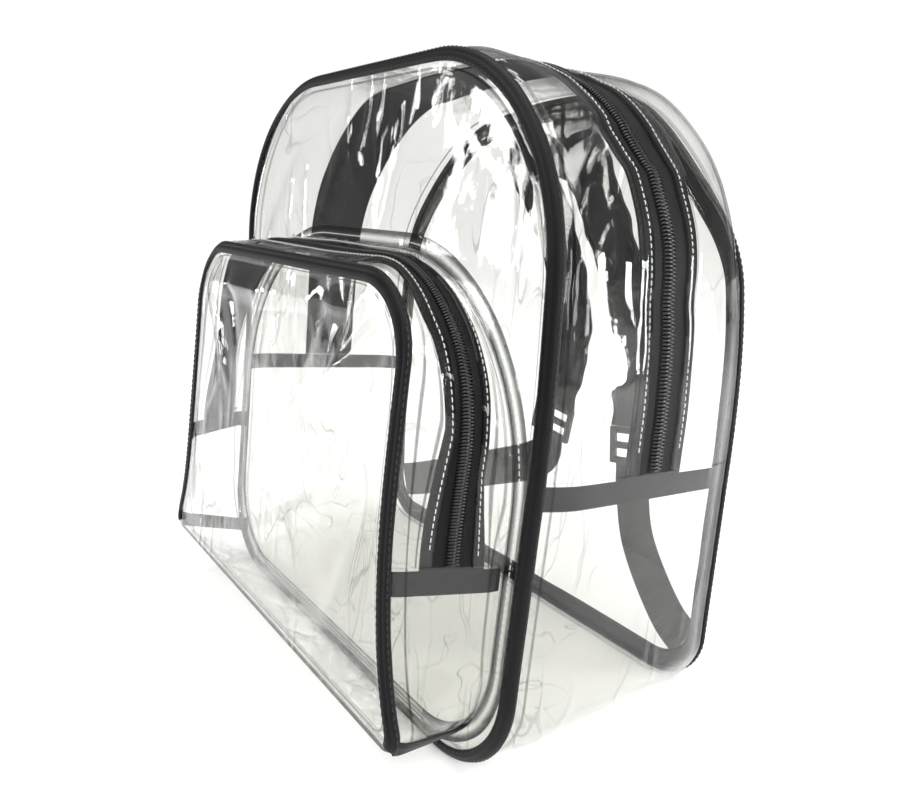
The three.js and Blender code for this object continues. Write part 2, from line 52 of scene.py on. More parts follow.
camera_data = bpy.data.cameras.new("camera")
camera_data.lens = CAMERA_LENS
camera_data.sensor_width = 36.0
camera_data.clip_start = 0.01
camera = bpy.data.objects.new("camera", camera_data)
bpy.context.collection.objects.link(camera)
camera.location = CAMERA_PLACE
look = (CAMERA_AIM - CAMERA_PLACE).to_track_quat("-Z", "Y")
camera.rotation_euler = (look.to_matrix() @ Matrix.Rotation(CAMERA_ROLL, 3, "Z")).to_euler()
bpy.context.scene.camera = camera

# Sizes, in mm, as the bag is cut

SHEET = 0.8  # drawn thickness of the clear sheet
STEP = 1.3  # thickness of its turned hem
HEM_WIDE = 7.0
BAND = 0.9  # thickness of the woven tapes
CLEAR_OF_SHEET = 0.8
OFF_SHEET = 0.72  # from the middle of a hem to the inside of the binding on it
BINDING = dict(leg=3.5, thick=1.4, groove=1.1)
POCKET_BINDING = dict(leg=3.2, thick=1.2, groove=0.9)
BODY_HEM, BODY_CHEEK, BASE_DROP = 22.0, 6.0, 2.625
POCKET_HEM, POCKET_CHEEK = 7.0, 2.0
BASE_LEVEL = BASE_DROP + 0.5
BODY_DEPTH, FRONT_LEAN, BACK_LEAN = 133.0, 0.13, 0.07
POCKET_DEPTH = 46.0
TAPE_HEIGHT = 10.0
FRONT_EDGE = dict(bottom=BASE_LEVEL, top=309, half_width=149, top_radius=90, base_radius=44, tape_top=140,
                  sway=-10)
BACK_EDGE = dict(bottom=BASE_LEVEL, top=299, half_width=148, top_radius=90, base_radius=28, tape_top=124,
                 sway=-6)
POCKET_EDGE = dict(bottom=36, top=219, half_width=114, top_radius=34, base_radius=12, tape_top=106, sway=4,
                   flare=(26, 36))
POCKET_SEAM = dict(bottom=14, top=223, half_width=138, top_radius=98, base_radius=44, tape_top=103)
SLUMP = 16.0  # how far the back's top corner has sunk in on the +X side, where the sheet folds out over it
BACK_SLUMPS = [(-1, 28, 85), (1, SLUMP, 60)]  # side, how deep and how wide each top corner has sunk in
MAIN_ZIP = dict(place=0.51, band=36.0, exposed=22.0, coil=8.0, proud=2.4)
POCKET_ZIP = dict(place=0.55, band=26.0, exposed=16.0, coil=6.0, proud=2.0)


# The y of each flat wall and seam at height z


def front_plane(z):
    return -BODY_DEPTH / 2 + FRONT_LEAN * (z - BASE_LEVEL)


def back_plane(z):
    return BODY_DEPTH / 2 + BACK_LEAN * (z - BASE_LEVEL)


def pocket_plane(z):
    return front_plane(z) - POCKET_DEPTH


def pocket_seam_plane(z):
    return front_plane(z) - CLEAR_OF_SHEET - 0.3


def smooth(x, low, high):
    """0 below low, 1 above high, with a soft step between."""
    t = np.clip((np.asarray(x, float) - low) / (high - low), 0, 1)
    return t * t * (3 - 2 * t)


def unit(v):
    """The same directions, 1 long."""
    return v / np.maximum(np.linalg.norm(v, axis=-1, keepdims=True), 1e-12)


def across_of(a, b):
    """Dot product along the last axis, kept as a column."""
    return (a * b).sum(-1, keepdims=True)


# Seam outlines

# A seam is run in spans, 29 from the middle of the base to the middle of the top, and each in FINE stations
FINE = 6
SPANS = dict(base=3, foot=5, low=4, tape=1, side=4, corner=9, top=3)
TAPE_LOW = 12 * FINE
TAPE_TOP = 13 * FINE
MIDDLE = 29 * FINE
SPANS_ROUND = 58
ROUND = SPANS_ROUND * FINE


def outline(bottom, top, half_width, top_radius, base_radius, tape_top, sway=0.0, flare=None):
    """One seam from the middle of the base, up the +X side, over the top and down again, as x and z in mm.

    sway moves the top sideways. flare is how far the foot spreads, and over what height that fades."""

    def even(a, b, spans):
        return a + (b - a) * np.arange(spans * FINE) / (spans * FINE)

    def arc(cx, cz, r, angles):
        return np.stack([cx + r * np.cos(angles), cz + r * np.sin(angles)], 1)

    def side(z):
        return np.stack([np.full_like(z, half_width), z], 1)

    def level(x, z):
        return np.stack([x, np.full_like(x, z)], 1)

    foot, shoulder = half_width - base_radius, half_width - top_radius
    half = np.concatenate([
        level(even(0, foot, SPANS["base"]), bottom),
        arc(foot, bottom + base_radius, base_radius, even(-math.pi / 2, 0, SPANS["foot"])),
        side(even(bottom + base_radius, tape_top - TAPE_HEIGHT, SPANS["low"])),
        side(even(tape_top - TAPE_HEIGHT, tape_top, SPANS["tape"])),
        side(even(tape_top, top - top_radius, SPANS["side"])),
        arc(shoulder, top - top_radius, top_radius, even(0, math.pi / 2, SPANS["corner"])),
        level(even(shoulder, 0, SPANS["top"]), top),
        [[0.0, top]],
    ])
    if flare:
        spread, fade = flare
        half[:, 0] += spread * np.exp((bottom - half[:, 1]) / fade) * np.sign(half[:, 0])
    mirrored = half[1:-1][::-1] * [-1, 1]
    whole = np.concatenate([half, mirrored])
    whole[:, 0] += sway * smooth(whole[:, 1], tape_top, top)
    return whole


def back_outline():
    """The back seam, with its top corners sunk in."""
    edge = outline(**BACK_EDGE)
    radius = BACK_EDGE["top_radius"]
    inset = radius * (1 - math.sqrt(0.5))
    for side, deep, wide in BACK_SLUMPS:
        away = np.hypot(edge[:, 0] - side * (BACK_EDGE["half_width"] - inset),
                        edge[:, 1] - BACK_EDGE["top"] + inset)
        sag = deep * math.sqrt(0.5) * np.exp(-(away / wide) ** 2)
        edge = edge + np.stack([-side * sag, -sag], 1)
    return edge


def outwards(edge):
    """The way out of a seam's outline at each station, flat in x and z."""
    ahead = np.roll(edge, -1, 0) - np.roll(edge, 1, 0)
    out = np.stack([ahead[:, 1], np.zeros(len(edge)), -ahead[:, 0]], 1)
    return unit(out)


class Gusset:
    """The strip between two seams. at(i, mm) is its place that far behind the first seam at station i."""

    def __init__(self, first, second, first_plane, second_plane, hem, rise, wrinkle, fold=None):
        self.a = np.stack([first[:, 0], first_plane(first[:, 1]), first[:, 1]], 1)
        self.b = np.stack([second[:, 0], second_plane(second[:, 1]), second[:, 1]], 1)
        self.depth = np.linalg.norm(self.b - self.a, axis=1)
        self.along = (self.b - self.a) / self.depth[:, None]
        out = unit(outwards(first) + outwards(second))
        self.normal = unit(out - self.along * across_of(out, self.along))
        self.hem, self.rise, self.wrinkle, self.fold = hem, rise, wrinkle, fold

    def at(self, stations, mm, offset=0.0):
        """Places on the strip, or offset mm outside its middle."""
        k = np.asarray(stations) % ROUND
        mm = np.broadcast_to(np.asarray(mm, float), k.shape)
        inside = np.clip(np.minimum(mm, self.depth[k] - mm) / self.hem, 0, 1)
        belly = np.sin(inside * math.pi / 2) ** 0.9
        lift = offset + self.rise[k] * belly + self.wrinkle(k, mm, self.depth[k])
        if self.fold is not None:
            share = mm / self.depth[k]
            lift = lift + self.fold[k] * smooth(share, 0.5, 0.82) * (1 - smooth(share, 0.86, 1.0))
        return self.a[k] + self.along[k] * mm[:, None] + self.normal[k] * lift[:, None]

    def frontwards(self, k):
        """The way the strip runs on past its first seam."""
        return unit(self.at(k, 0 * self.depth[k]) - self.at(k, np.full(len(k), self.hem * 0.4)))

    def backwards(self, k):
        """The way the strip runs on past its second seam."""
        return unit(self.at(k, self.depth[k]) - self.at(k, self.depth[k] - self.hem * 0.4))


def lumps(points, size, seed):
    """Smooth undulation from -1 to 1 with a pattern of that size in mm."""
    return np.array([noise.noise(Vector((x / size + seed, y / size - seed, z / size))) for x, y, z in points])


def creases(rows, u, v):
    """Creases in PVC: each runs from (u0, v0) to (u1, v1), is wide at its start, and stands out by high."""
    out = np.zeros(len(u))
    for u0, v0, u1, v1, wide, high in rows:
        du, dv = u1 - u0, v1 - v0
        t = np.clip(((u - u0) * du + (v - v0) * dv) / (du * du + dv * dv), 0, 1)
        away = np.hypot(u - u0 - t * du, v - v0 - t * dv) / (wide * (1 - 0.4 * t))
        out += high * (1 - 0.6 * t) / (1 + away * away) ** 1.5
    return out


station = np.arange(ROUND) / FINE  # in spans
from_middle = np.minimum(station, SPANS_ROUND - station)
front_edge, back_edge = outline(**FRONT_EDGE), back_outline()
pocket_edge, pocket_seam = outline(**POCKET_EDGE), outline(**POCKET_SEAM)
body_rise = BASE_DROP + (BODY_CHEEK - BASE_DROP) * smooth(from_middle, 4, 8)
# Strongest over the sunk corner of the back
over_slump = np.exp(-((station - 21.5) / 3.2) ** 2)

# On a gusset: station and share of its depth at one end, the same at the other, reach in stations, mm high
BODY_CREASES = [
    (18.6, 0.05, 20.0, 0.42, 0.35, 2.2), (20.6, 0.04, 21.4, 0.4, 0.3, -2.4),
    (22.3, 0.06, 21.6, 0.44, 0.3, 2.0), (24.6, 0.08, 25.2, 0.4, 0.45, -1.6),
    (16.6, 0.62, 18.2, 0.96, 0.4, -1.8), (33.0, 0.05, 34.2, 0.4, 0.4, 2.0),
    (36.0, 0.06, 35.2, 0.42, 0.4, -1.8), (38.6, 0.1, 37.8, 0.42, 0.4, 1.8),
    (20.0, 0.64, 21.2, 0.96, 0.4, 1.6), (24.0, 0.66, 25.4, 0.95, 0.5, -1.4),
    (32.0, 0.66, 33.2, 0.95, 0.5, 1.6), (14.4, 0.1, 15.6, 0.4, 0.3, 1.2), (8.6, 0.3, 11.2, 0.66, 0.5, -1.6),
    (7.6, 0.8, 9.8, 0.52, 0.45, 1.5), (48.4, 0.7, 46.6, 0.3, 0.5, -1.8), (50.6, 0.3, 48.8, 0.62, 0.5, 1.4),
    (4.4, 0.15, 6.6, 0.4, 0.4, 1.0), (53.6, 0.2, 51.8, 0.5, 0.4, 1.0),
]
POCKET_CREASES = [
    (19.6, 0.05, 20.4, 0.34, 0.3, 1.1), (21.8, 0.05, 21.0, 0.34, 0.3, -1.2),
    (24.4, 0.1, 25.0, 0.36, 0.4, 0.8), (16.0, 0.05, 17.0, 0.34, 0.35, -0.9),
    (19.0, 0.74, 20.6, 0.95, 0.4, 0.9), (36.4, 0.05, 37.2, 0.34, 0.3, -1.0),
    (38.6, 0.05, 37.8, 0.34, 0.3, 1.0), (9.0, 0.2, 11.2, 0.7, 0.5, -1.3), (49.0, 0.2, 46.8, 0.7, 0.5, -1.3),
    (7.8, 0.6, 9.6, 0.3, 0.4, 1.0), (50.2, 0.6, 48.4, 0.3, 0.4, 1.0),
]


def gusset_wrinkle(rows, height, calm):
    """Creases, and between them the slow buckling of a stiff sheet. calm is how flat the base stays."""

    def wrinkle(k, mm, depth):
        share = mm / depth
        u = k / FINE
        fade = np.sin(np.clip(share, 0, 1) * math.pi) ** 0.6
        spots = np.stack([u * 14.0, mm, np.zeros(len(u))], 1)
        slow = lumps(spots, 46.0, 3.7) * 1.3 + lumps(spots * [1.0, 0.4, 1.0], 15.0, 9.1) * 0.35
        near = np.minimum(u, SPANS_ROUND - u)
        return height * fade * (slow + creases(rows, u, share)) * (1 - calm * (1 - smooth(near, 3.5, 8)))

    return wrinkle


body = Gusset(front_edge, back_edge, front_plane, back_plane, BODY_HEM, body_rise,
              gusset_wrinkle(BODY_CREASES, 0.75, 0.97), fold=over_slump * SLUMP * 0.7)
# The pocket's -X side bulges a little more than the rest
pocket_rise = POCKET_CHEEK + 4.0 * np.exp(-((station - 46) / 6) ** 2)
pocket = Gusset(pocket_edge, pocket_seam, pocket_plane, pocket_seam_plane, POCKET_HEM, pocket_rise,
                gusset_wrinkle(POCKET_CREASES, 0.6, 0.4))


# Meshes


def pick_piece(piece):
    """Selects one piece and nothing else, ready for the operators."""
    bpy.ops.object.select_all(action="DESELECT")
    piece.select_set(True)
    bpy.context.view_layer.objects.active = piece


def rounded(piece, width, segments):
    """Rounds every edge of a piece that is sharper than 30 degrees."""
    bevel = piece.modifiers.new("rounded_edges", "BEVEL")
    bevel.width = width * MM
    bevel.segments = segments
    bevel.limit_method = "ANGLE"
    bpy.context.view_layer.objects.active = piece
    bpy.ops.object.modifier_apply(modifier=bevel.name)


def hand_over(piece, material, nodes, smooth_angle):
    """Gives a shaped piece its material and its smoothing, hangs it on the root body, and hides the CAD parts
    that it stands for.
    """
    piece.data.materials.append(material)
    pick_piece(piece)
    bpy.ops.object.shade_smooth_by_angle(angle=math.radians(smooth_angle))
    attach(piece, "root")
    if nodes:
        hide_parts(*nodes)


def finish_piece(name, verts, faces, material, nodes, uv=None, smooth_angle=40.0):
    """A closed mesh in mm becomes a piece in its place, with its normals out and its smoothing set."""
    mesh = bpy.data.meshes.new(name)
    mesh.from_pydata((np.asarray(verts) * MM).tolist(), [], faces)
    if uv is not None:
        layer = mesh.uv_layers.new(name="cloth")
        flat = np.asarray(uv, dtype=np.float32)
        corner = np.empty(len(mesh.loops), dtype=np.int32)
        mesh.loops.foreach_get("vertex_index", corner)
        layer.data.foreach_set("uv", (flat[corner] * MM).ravel())
    piece = bpy.data.objects.new(name, mesh)
    bpy.context.collection.objects.link(piece)
    work = bmesh.new()
    work.from_mesh(mesh)
    bmesh.ops.recalc_face_normals(work, faces=work.faces)
    work.to_mesh(mesh)
    work.free()
    hand_over(piece, material, nodes, smooth_angle)
    return piece


def skin(rings, loop):
    """Faces that join equal closed rings of points, with end caps on an open run."""
    count, size = rings.shape[:2]
    spans = count if loop else count - 1
    faces = []
    for i in range(spans):
        here, there = i * size, ((i + 1) % count) * size
        for k in range(size):
            m = (k + 1) % size
            faces.append((here + k, there + k, there + m, here + m))
    if not loop:
        faces.append(tuple(range(size)))
        last = (count - 1) * size
        faces.append(tuple(last + size - 1 - k for k in range(size)))
    return faces


def length_along(points):
    """How far each point lies along a line of points."""
    steps = np.linalg.norm(np.diff(points, axis=0), axis=1)
    return np.concatenate([[0.0], np.cumsum(steps)])


def strip_rings(rows, normals, thick):
    """Rings round a sheet strip. rows is stations x columns x 3, and thick may differ for each column."""
    thick = np.broadcast_to(np.asarray(thick, float), rows.shape[1])[None, :, None]
    top = rows + normals * thick / 2
    under = rows - normals * thick / 2
    edge = unit(rows[:, 0] - rows[:, 1])[:, None] * thick[:, :1] * 0.35
    far = unit(rows[:, -1] - rows[:, -2])[:, None] * thick[:, -1:] * 0.35
    return np.concatenate([top, rows[:, -1:] + far, under[:, ::-1], rows[:, :1] + edge], 1)


def grid_uv(along, around):
    """Along a run and round its section, for rings of equal points."""
    u = np.repeat(along[:, None], len(around), 1)
    v = np.repeat(around[None], len(along), 0)
    return np.stack([u, v], 2).reshape(-1, 2)


def strip_uv(rows):
    """Along and across a strip in mm, for the rings of strip_rings."""
    along = length_along(rows[:, rows.shape[1] // 2])
    across = np.concatenate([[0.0], np.cumsum(np.linalg.norm(np.diff(rows.mean(0), axis=0), axis=1))])
    ring = np.concatenate([across, [across[-1]], across[::-1], [0.0]])
    return grid_uv(along, ring)


def inward_uv(rows):
    """Along a strip, and in from the nearer of its long edges, in mm, for the rings of strip_rings."""
    uv = strip_uv(rows).reshape(len(rows), -1, 2)
    wide = uv[:, :, 1].max()
    uv[:, :, 1] = np.minimum(uv[:, :, 1], wide - uv[:, :, 1])
    return uv.reshape(-1, 2)


def shift_ends(rows, lift):
    """Moves the first and last rows inwards along the run."""
    rows = rows.copy()
    for end, other in ((0, 1), (-1, -2)):
        way = rows[other] - rows[end]
        rows[end] += unit(way) * lift
    return rows


def strip_rows(shape, run, columns, offset=0.0, lift=0.0):
    """columns is a list of functions from stations to mm behind the first seam."""
    rows = np.stack([shape.at(run, column(run % ROUND), offset) for column in columns], 1)
    return shift_ends(rows, lift) if lift else rows


def surface_normals(rows, outside):
    """Normals of a strip's own curved surface, on the outside."""
    along = np.gradient(rows, axis=0)
    across = np.gradient(rows, axis=1)
    normal = unit(np.cross(along, across))
    return normal * np.sign(across_of(normal, outside))


# Materials


def linear(hex_colour):
    """An sRGB hex colour as Blender's linear numbers."""
    parts = [int(hex_colour[i:i + 2], 16) / 255 for i in (0, 2, 4)]
    return tuple(c / 12.92 if c <= 0.04045 else ((c + 0.055) / 1.055) ** 2.4 for c in parts) + (1.0,)


def new_material(name):
    material = bpy.data.materials.new(name)
    material.use_nodes = True
    material.node_tree.nodes.clear()
    return material, material.node_tree


def add_node(tree, kind, *values, **named):
    """Adds a node. Values go to its inputs in order, capitalised names to inputs by name, and i6 to input 6.

    Other names are settings. A node is linked from its first output, and a socket as it is."""
    node = tree.nodes.new("ShaderNode" + kind)
    inputs = dict(enumerate(values))
    for key, value in named.items():
        if key[0].isupper():
            inputs[key.replace("_", " ")] = value
        elif key[1:].isdigit():
            inputs[int(key[1:])] = value
        else:
            setattr(node, key, value)
    for key, value in inputs.items():
        value = value.outputs[0] if isinstance(value, bpy.types.Node) else value
        if isinstance(value, bpy.types.NodeSocket):
            tree.links.new(value, node.inputs[key])
        else:
            node.inputs[key].default_value = value
    return node


def line_at(tree, distance, at, half_width):
    """1 on a line that runs at mm from the edge, fading to 0 at half_width mm either side of it."""
    away = add_node(tree, "Math", distance, at * MM, operation="SUBTRACT")
    away = add_node(tree, "Math", away, operation="ABSOLUTE")
    return add_node(tree, "MapRange", away, half_width * 0.4 * MM, half_width * MM, 1.0, 0.0)


def crease_lines(tree, place, turn, long, wide, seed):
    """0 on long, lightly curved crease lines that run one way through the bag, growing away from them."""
    turned = add_node(tree, "Mapping", Vector=place, Rotation=turn, Location=(seed, seed, seed),
                      Scale=(1 / (wide * MM), 1 / (wide * MM), 1 / (long * MM)))
    field = add_node(tree, "TexNoise", Vector=turned, Scale=1.0, Detail=1.5, Roughness=0.4)
    away = add_node(tree, "Math", field, 0.5, operation="SUBTRACT")
    return add_node(tree, "Math", away, operation="ABSOLUTE")


def make_clear_pvc():
    """Clear PVC, calendered between polished rolls: glassy, faintly grey, and nearly all light goes through.

    Folding has left creases, which mirror the lamps in streaks. Painted shade draws them, the cut edge and
    the hem's end as grey lines on a pale ground."""
    material, tree = new_material("clear_pvc_calendered")
    place = add_node(tree, "TexCoord").outputs["Object"]
    uv = add_node(tree, "UVMap", uv_map="cloth")
    inward = add_node(tree, "SeparateXYZ", uv).outputs[1]
    # Ripple left by the rolls, 9 mm across, over waves 38 mm across from rolling and folding
    peel = add_node(tree, "TexNoise", Vector=place, Scale=110.0, Detail=2.0, Roughness=0.5)
    waves = add_node(tree, "TexNoise", Vector=place, Scale=26.0, Detail=2.0, Roughness=0.4)
    both = add_node(tree, "Math", waves, 4.0, peel, operation="MULTIPLY_ADD")
    # Long creases two ways, only where a noise 59 mm across says that the sheet was bent
    one = crease_lines(tree, place, (0.5, 0.6, 0.0), 150.0, 34.0, 3.0)
    two = crease_lines(tree, place, (-0.5, -0.7, 0.4), 120.0, 30.0, 8.0)
    net = add_node(tree, "Math", one, two, operation="MINIMUM")
    bent = add_node(tree, "TexNoise", Vector=place, Scale=17.0, Detail=1.0)
    bent = add_node(tree, "MapRange", bent, 0.46, 0.62, 0.0, 1.0)
    fold = add_node(tree, "MapRange", net, 0.0, 0.05, 1.0, 0.0)
    fold = add_node(tree, "Math", fold, bent, operation="MULTIPLY")
    height = add_node(tree, "Math", fold, 3.0, both, operation="MULTIPLY_ADD")
    bump = add_node(tree, "Bump", Height=height, Strength=0.5, Distance=0.0003)
    gloss = add_node(tree, "BsdfGlossy", Color=linear("FFFFFF"), Roughness=0.045, Normal=bump)
    # Painted shade: grey lines on the crest of a crease, on the cut edge, and at the end of the turned hem 6
    # mm in, standing in for the light that these bend away
    crest_shade = add_node(tree, "MapRange", net, 0.001, 0.005, 0.3, 0.0)
    crest_shade = add_node(tree, "Math", crest_shade, bent, operation="MULTIPLY")
    hem = add_node(tree, "Math", line_at(tree, inward, 6.2, 0.55), 0.55, operation="MULTIPLY")
    cut = add_node(tree, "Math", line_at(tree, inward, 0.0, 0.7), 0.75, operation="MULTIPLY")
    grey = add_node(tree, "Math", crest_shade, hem, operation="MAXIMUM")
    grey = add_node(tree, "Math", grey, cut, operation="MAXIMUM")
    tint_and_painted_shade = add_node(tree, "Mix", grey, data_type="RGBA", i6=linear("FBFBFA"), i7=linear("8C8F91"))
    clear = add_node(tree, "BsdfTransparent", tint_and_painted_shade.outputs[2])
    # Bloom: a thin milky haze, stronger where it has been rubbed
    rubbed = add_node(tree, "TexNoise", Vector=place, Scale=16.0, Detail=4.0, Roughness=0.6)
    haze = add_node(tree, "MapRange", rubbed, 0.35, 0.75, 0.001, 0.005)
    milk = add_node(tree, "BsdfDiffuse", linear("D9DCDE"))
    sheer = add_node(tree, "MixShader", haze, clear, milk)
    # It mirrors little of the light face on, and nearly all of it at a grazing angle
    tilt = add_node(tree, "LayerWeight", Blend=0.5, Normal=bump)
    steep = add_node(tree, "Math", tilt.outputs["Facing"], 5.0, operation="POWER")
    mirror = add_node(tree, "MapRange", steep, i3=0.02, i4=1.0)
    glass = add_node(tree, "MixShader", mirror, sheer, gloss)
    # A lamp's light goes through with a faint shade, so the bag's inside stays bright
    shade = add_node(tree, "BsdfTransparent", linear("F2F2F0"))
    lamp_ray = add_node(tree, "LightPath").outputs["Is Shadow Ray"]
    surface = add_node(tree, "MixShader", lamp_ray, glass, shade)
    add_node(tree, "OutputMaterial", surface)
    return material


def make_twill(name, pitch, slant, dark, light, rough, groove=0.0):
    """Polyester tape, twill woven and dyed black: small raised floats, drawn lighter than the dye as a
    painted sheen.

    The floats lie pitch mm apart in rows turned by slant, coarser than the real weave so that they show.
    groove is the half width in mm of a painted shade line, darker down the valley where a folded tape's two
    sides meet."""
    material, tree = new_material(name)
    uv = add_node(tree, "UVMap", uv_map="cloth")
    turned = add_node(tree, "Mapping", Vector=uv, Rotation=(0, 0, slant),
                      Scale=(1 / (pitch * MM), 1.6 / (pitch * MM), 1.0))
    floats = add_node(tree, "TexVoronoi", feature="F1", Vector=turned, Scale=1.0, Randomness=0.12)
    # Painted sheen: the colour is lighter on each raised float, where light would catch it
    tone = add_node(tree, "MapRange", floats, 0.0, 0.55, 1.0, 0.0)
    # Painted shade: darker along the groove between the folded tape's two legs
    if groove:
        across = add_node(tree, "SeparateXYZ", uv).outputs[1]
        clear_of_groove_shade = add_node(tree, "Math", 1.0, line_at(tree, across, 0.0, groove), operation="SUBTRACT")
        tone = add_node(tree, "Math", tone, clear_of_groove_shade, operation="MULTIPLY")
    wear = add_node(tree, "TexNoise", Vector=uv, Scale=160.0, Detail=3.0)
    share = add_node(tree, "Math", tone, wear, operation="MULTIPLY")
    dye_and_painted_sheen = add_node(tree, "Mix", share, data_type="RGBA", i6=linear(dark), i7=linear(light))
    bump = add_node(tree, "Bump", Height=tone, Strength=0.7, Distance=0.00022)
    cloth = add_node(tree, "BsdfPrincipled", dye_and_painted_sheen.outputs[2], Roughness=rough, Normal=bump,
                     Specular_IOR_Level=0.2, Sheen_Weight=0.02)
    add_node(tree, "OutputMaterial", cloth)
    return material


def make_webbing():
    """Polypropylene webbing, plain woven: ribs across it 1.6 mm apart, crossed by warp lines 1.1 mm apart."""
    material, tree = new_material("webbing_polypropylene")
    uv = add_node(tree, "UVMap", uv_map="cloth")
    split = add_node(tree, "SeparateXYZ", uv)
    rib = add_node(tree, "Math", split, 2 * math.pi / 0.0016, operation="MULTIPLY")
    warp = add_node(tree, "Math", split.outputs[1], 2 * math.pi / 0.0011, operation="MULTIPLY")
    ribs = add_node(tree, "Math", rib, operation="SINE")
    warps = add_node(tree, "Math", warp, operation="SINE")
    weave = add_node(tree, "Math", warps, 0.6, ribs, operation="MULTIPLY_ADD")
    bump = add_node(tree, "Bump", Height=weave, Strength=0.6, Distance=0.00022)
    # Painted sheen: the crests of the weave are drawn lighter than the dye
    tone = add_node(tree, "MapRange", weave, -1.6, 1.6, 0.0, 1.0)
    dye_and_painted_sheen = add_node(tree, "Mix", tone, data_type="RGBA", i6=linear("060607"), i7=linear("18191B"))
    cloth = add_node(tree, "BsdfPrincipled", dye_and_painted_sheen.outputs[2], Roughness=0.55, Normal=bump)
    add_node(tree, "OutputMaterial", cloth)
    return material


def make_moulded(name, colour, rough, grain, depth):
    """Injection-moulded black plastic: even, low sheen, with the fine grain of its mould, grain mm across."""
    material, tree = new_material(name)
    place = add_node(tree, "TexCoord").outputs["Object"]
    spark = add_node(tree, "TexNoise", Vector=place, Scale=1 / (grain * MM), Detail=2.0)
    bump = add_node(tree, "Bump", Height=spark, Strength=0.4, Distance=depth * MM)
    polish = add_node(tree, "MapRange", spark, 0.3, 0.7, rough - 0.06, rough + 0.08)
    plastic = add_node(tree, "BsdfPrincipled", linear(colour), Roughness=polish, Normal=bump, IOR=1.5)
    add_node(tree, "OutputMaterial", plastic)
    return material


def make_enamel():
    """Zinc slider dipped in black enamel: dark metal under a hard glossy coat, mottled by wear."""
    material, tree = new_material("enamelled_zinc")
    place = add_node(tree, "TexCoord").outputs["Object"]
    worn = add_node(tree, "TexNoise", Vector=place, Scale=900.0, Detail=3.0)
    colour = add_node(tree, "Mix", worn, data_type="RGBA", i6=linear("101011"), i7=linear("2A2A2C"))
    coat = add_node(tree, "BsdfPrincipled", colour.outputs[2], Roughness=0.28, Metallic=0.4, Coat_Weight=0.6)
    add_node(tree, "OutputMaterial", coat)
    return material


def make_thread(name, colour, rough):
    """Twisted nylon sewing thread with a slight sheen, its twist 0.4 mm long."""
    material, tree = new_material(name)
    place = add_node(tree, "TexCoord").outputs["Object"]
    twist = add_node(tree, "TexNoise", Vector=place, Scale=2500.0, Detail=1.0)
    bump = add_node(tree, "Bump", Height=twist, Strength=0.5, Distance=0.0001)
    thread = add_node(tree, "BsdfPrincipled", linear(colour), Roughness=rough, Normal=bump)
    add_node(tree, "OutputMaterial", thread)
    return material


CLEAR_PVC = make_clear_pvc()
# The second colour of each twill is its painted sheen on the raised floats
BINDING_TWILL = make_twill("binding_twill_polyester", 1.15, 0.72, "040405", "232428", 0.5, groove=1.1)
ZIP_TWILL = make_twill("zip_tape_twill_polyester", 0.9, 0.5, "070708", "1F2022", 0.55)
JOINT_TWILL = make_twill("joint_tape_polyester", 1.4, 0.785, "070709", "222326", 0.5)
WEBBING = make_webbing()
COIL = make_moulded("zip_coil_polyester", "0E0E0F", 0.36, 0.5, 0.02)
ACETAL = make_moulded("buckle_acetal", "171718", 0.42, 0.35, 0.03)
ENAMEL = make_enamel()
BLACK_THREAD = make_thread("thread_black_nylon", "18181A", 0.4)
# Clear monofilament thread, drawn pale grey all over as a painted glint
CLEAR_THREAD = make_thread("thread_clear_nylon_painted_glints", "D8D8D6", 0.35)
STRAP_NYLON = make_twill("strap_cloth_nylon", 0.8, 0.0, "0A0A0B", "26272A", 0.6)


# Clear sheets


def distance_to(points, line):
    """From each point to the nearest point of a line, worked out in lots that fit in memory."""
    best = np.full(len(points), 1e9)
    for start in range(0, len(points), 4000):
        part = points[start:start + 4000]
        best[start:start + 4000] = np.sqrt(((part[:, None] - line[None]) ** 2).sum(2)).min(1)
    return best


RING_SPACE = 3.0  # between the rings of points in a panel, and about that between its stations


def make_panel(name, edge, plane, side, relief, half_width):
    """A sheet cut to its outline, lying in plane(z) and standing out by relief(x, z). Its hem is double."""
    hem_rings = [0, 0.6, 2.5, 4.5, 6.6, 7.2, 9, 12]
    reach = np.concatenate([hem_rings, np.arange(15, half_width - 2, RING_SPACE)])
    shares = 1 - reach / half_width
    middle = (edge[:, 1].min() + edge[:, 1].max()) / 2
    out = outwards(edge)
    rim = edge + out[:, [0, 2]] * 0.45
    flat = np.concatenate([np.stack([rim[:, 0] * s, middle + (rim[:, 1] - middle) * s], 1) for s in shares])
    flat = np.concatenate([flat, [[0.0, middle]]])
    share = np.append(np.repeat(shares, len(edge)), 0.0)
    stand = side * relief(flat[:, 0], flat[:, 1]) * smooth(1 - share, 0.05, 0.26)
    lean = plane(1.0) - plane(0.0)
    normal = np.array([0.0, -1.0, lean]) / math.hypot(1, lean)
    thick = np.where(share > 1 - HEM_WIDE / half_width, STEP, SHEET)
    centre = np.stack([flat[:, 0], plane(flat[:, 1]) + stand, flat[:, 1]], 1)
    top = centre + normal * thick[:, None] / 2
    under = centre - normal * thick[:, None] / 2
    lip = centre[:len(edge)] + out * 0.25
    verts = np.concatenate([top, under, lip])
    count, rings, total = len(edge), len(shares), len(flat)
    faces = []
    for i in range(count):
        n = (i + 1) % count
        for r in range(rings - 1):
            a, b, c, d = r * count + i, r * count + n, (r + 1) * count + n, (r + 1) * count + i
            faces.append((a, b, c, d))
            faces.append((total + d, total + c, total + b, total + a))
        last = (rings - 1) * count
        faces.append((last + i, last + n, total - 1))
        faces.append((total + last + n, total + last + i, 2 * total - 1))
        faces.append((i, 2 * total + i, 2 * total + n, n))
        faces.append((2 * total + i, total + i, total + n, 2 * total + n))
    inward = np.append(np.repeat(reach, count), half_width)
    inward = np.concatenate([inward, inward, np.zeros(count)])
    along = np.concatenate([np.tile(np.arange(count), rings), [0]]) * RING_SPACE
    uv = np.stack([np.concatenate([along, along, along[:count]]), inward], 1)
    piece = finish_piece(name, verts, faces, CLEAR_PVC, [name.replace("_sheet", "")], uv=uv,
                         smooth_angle=60)


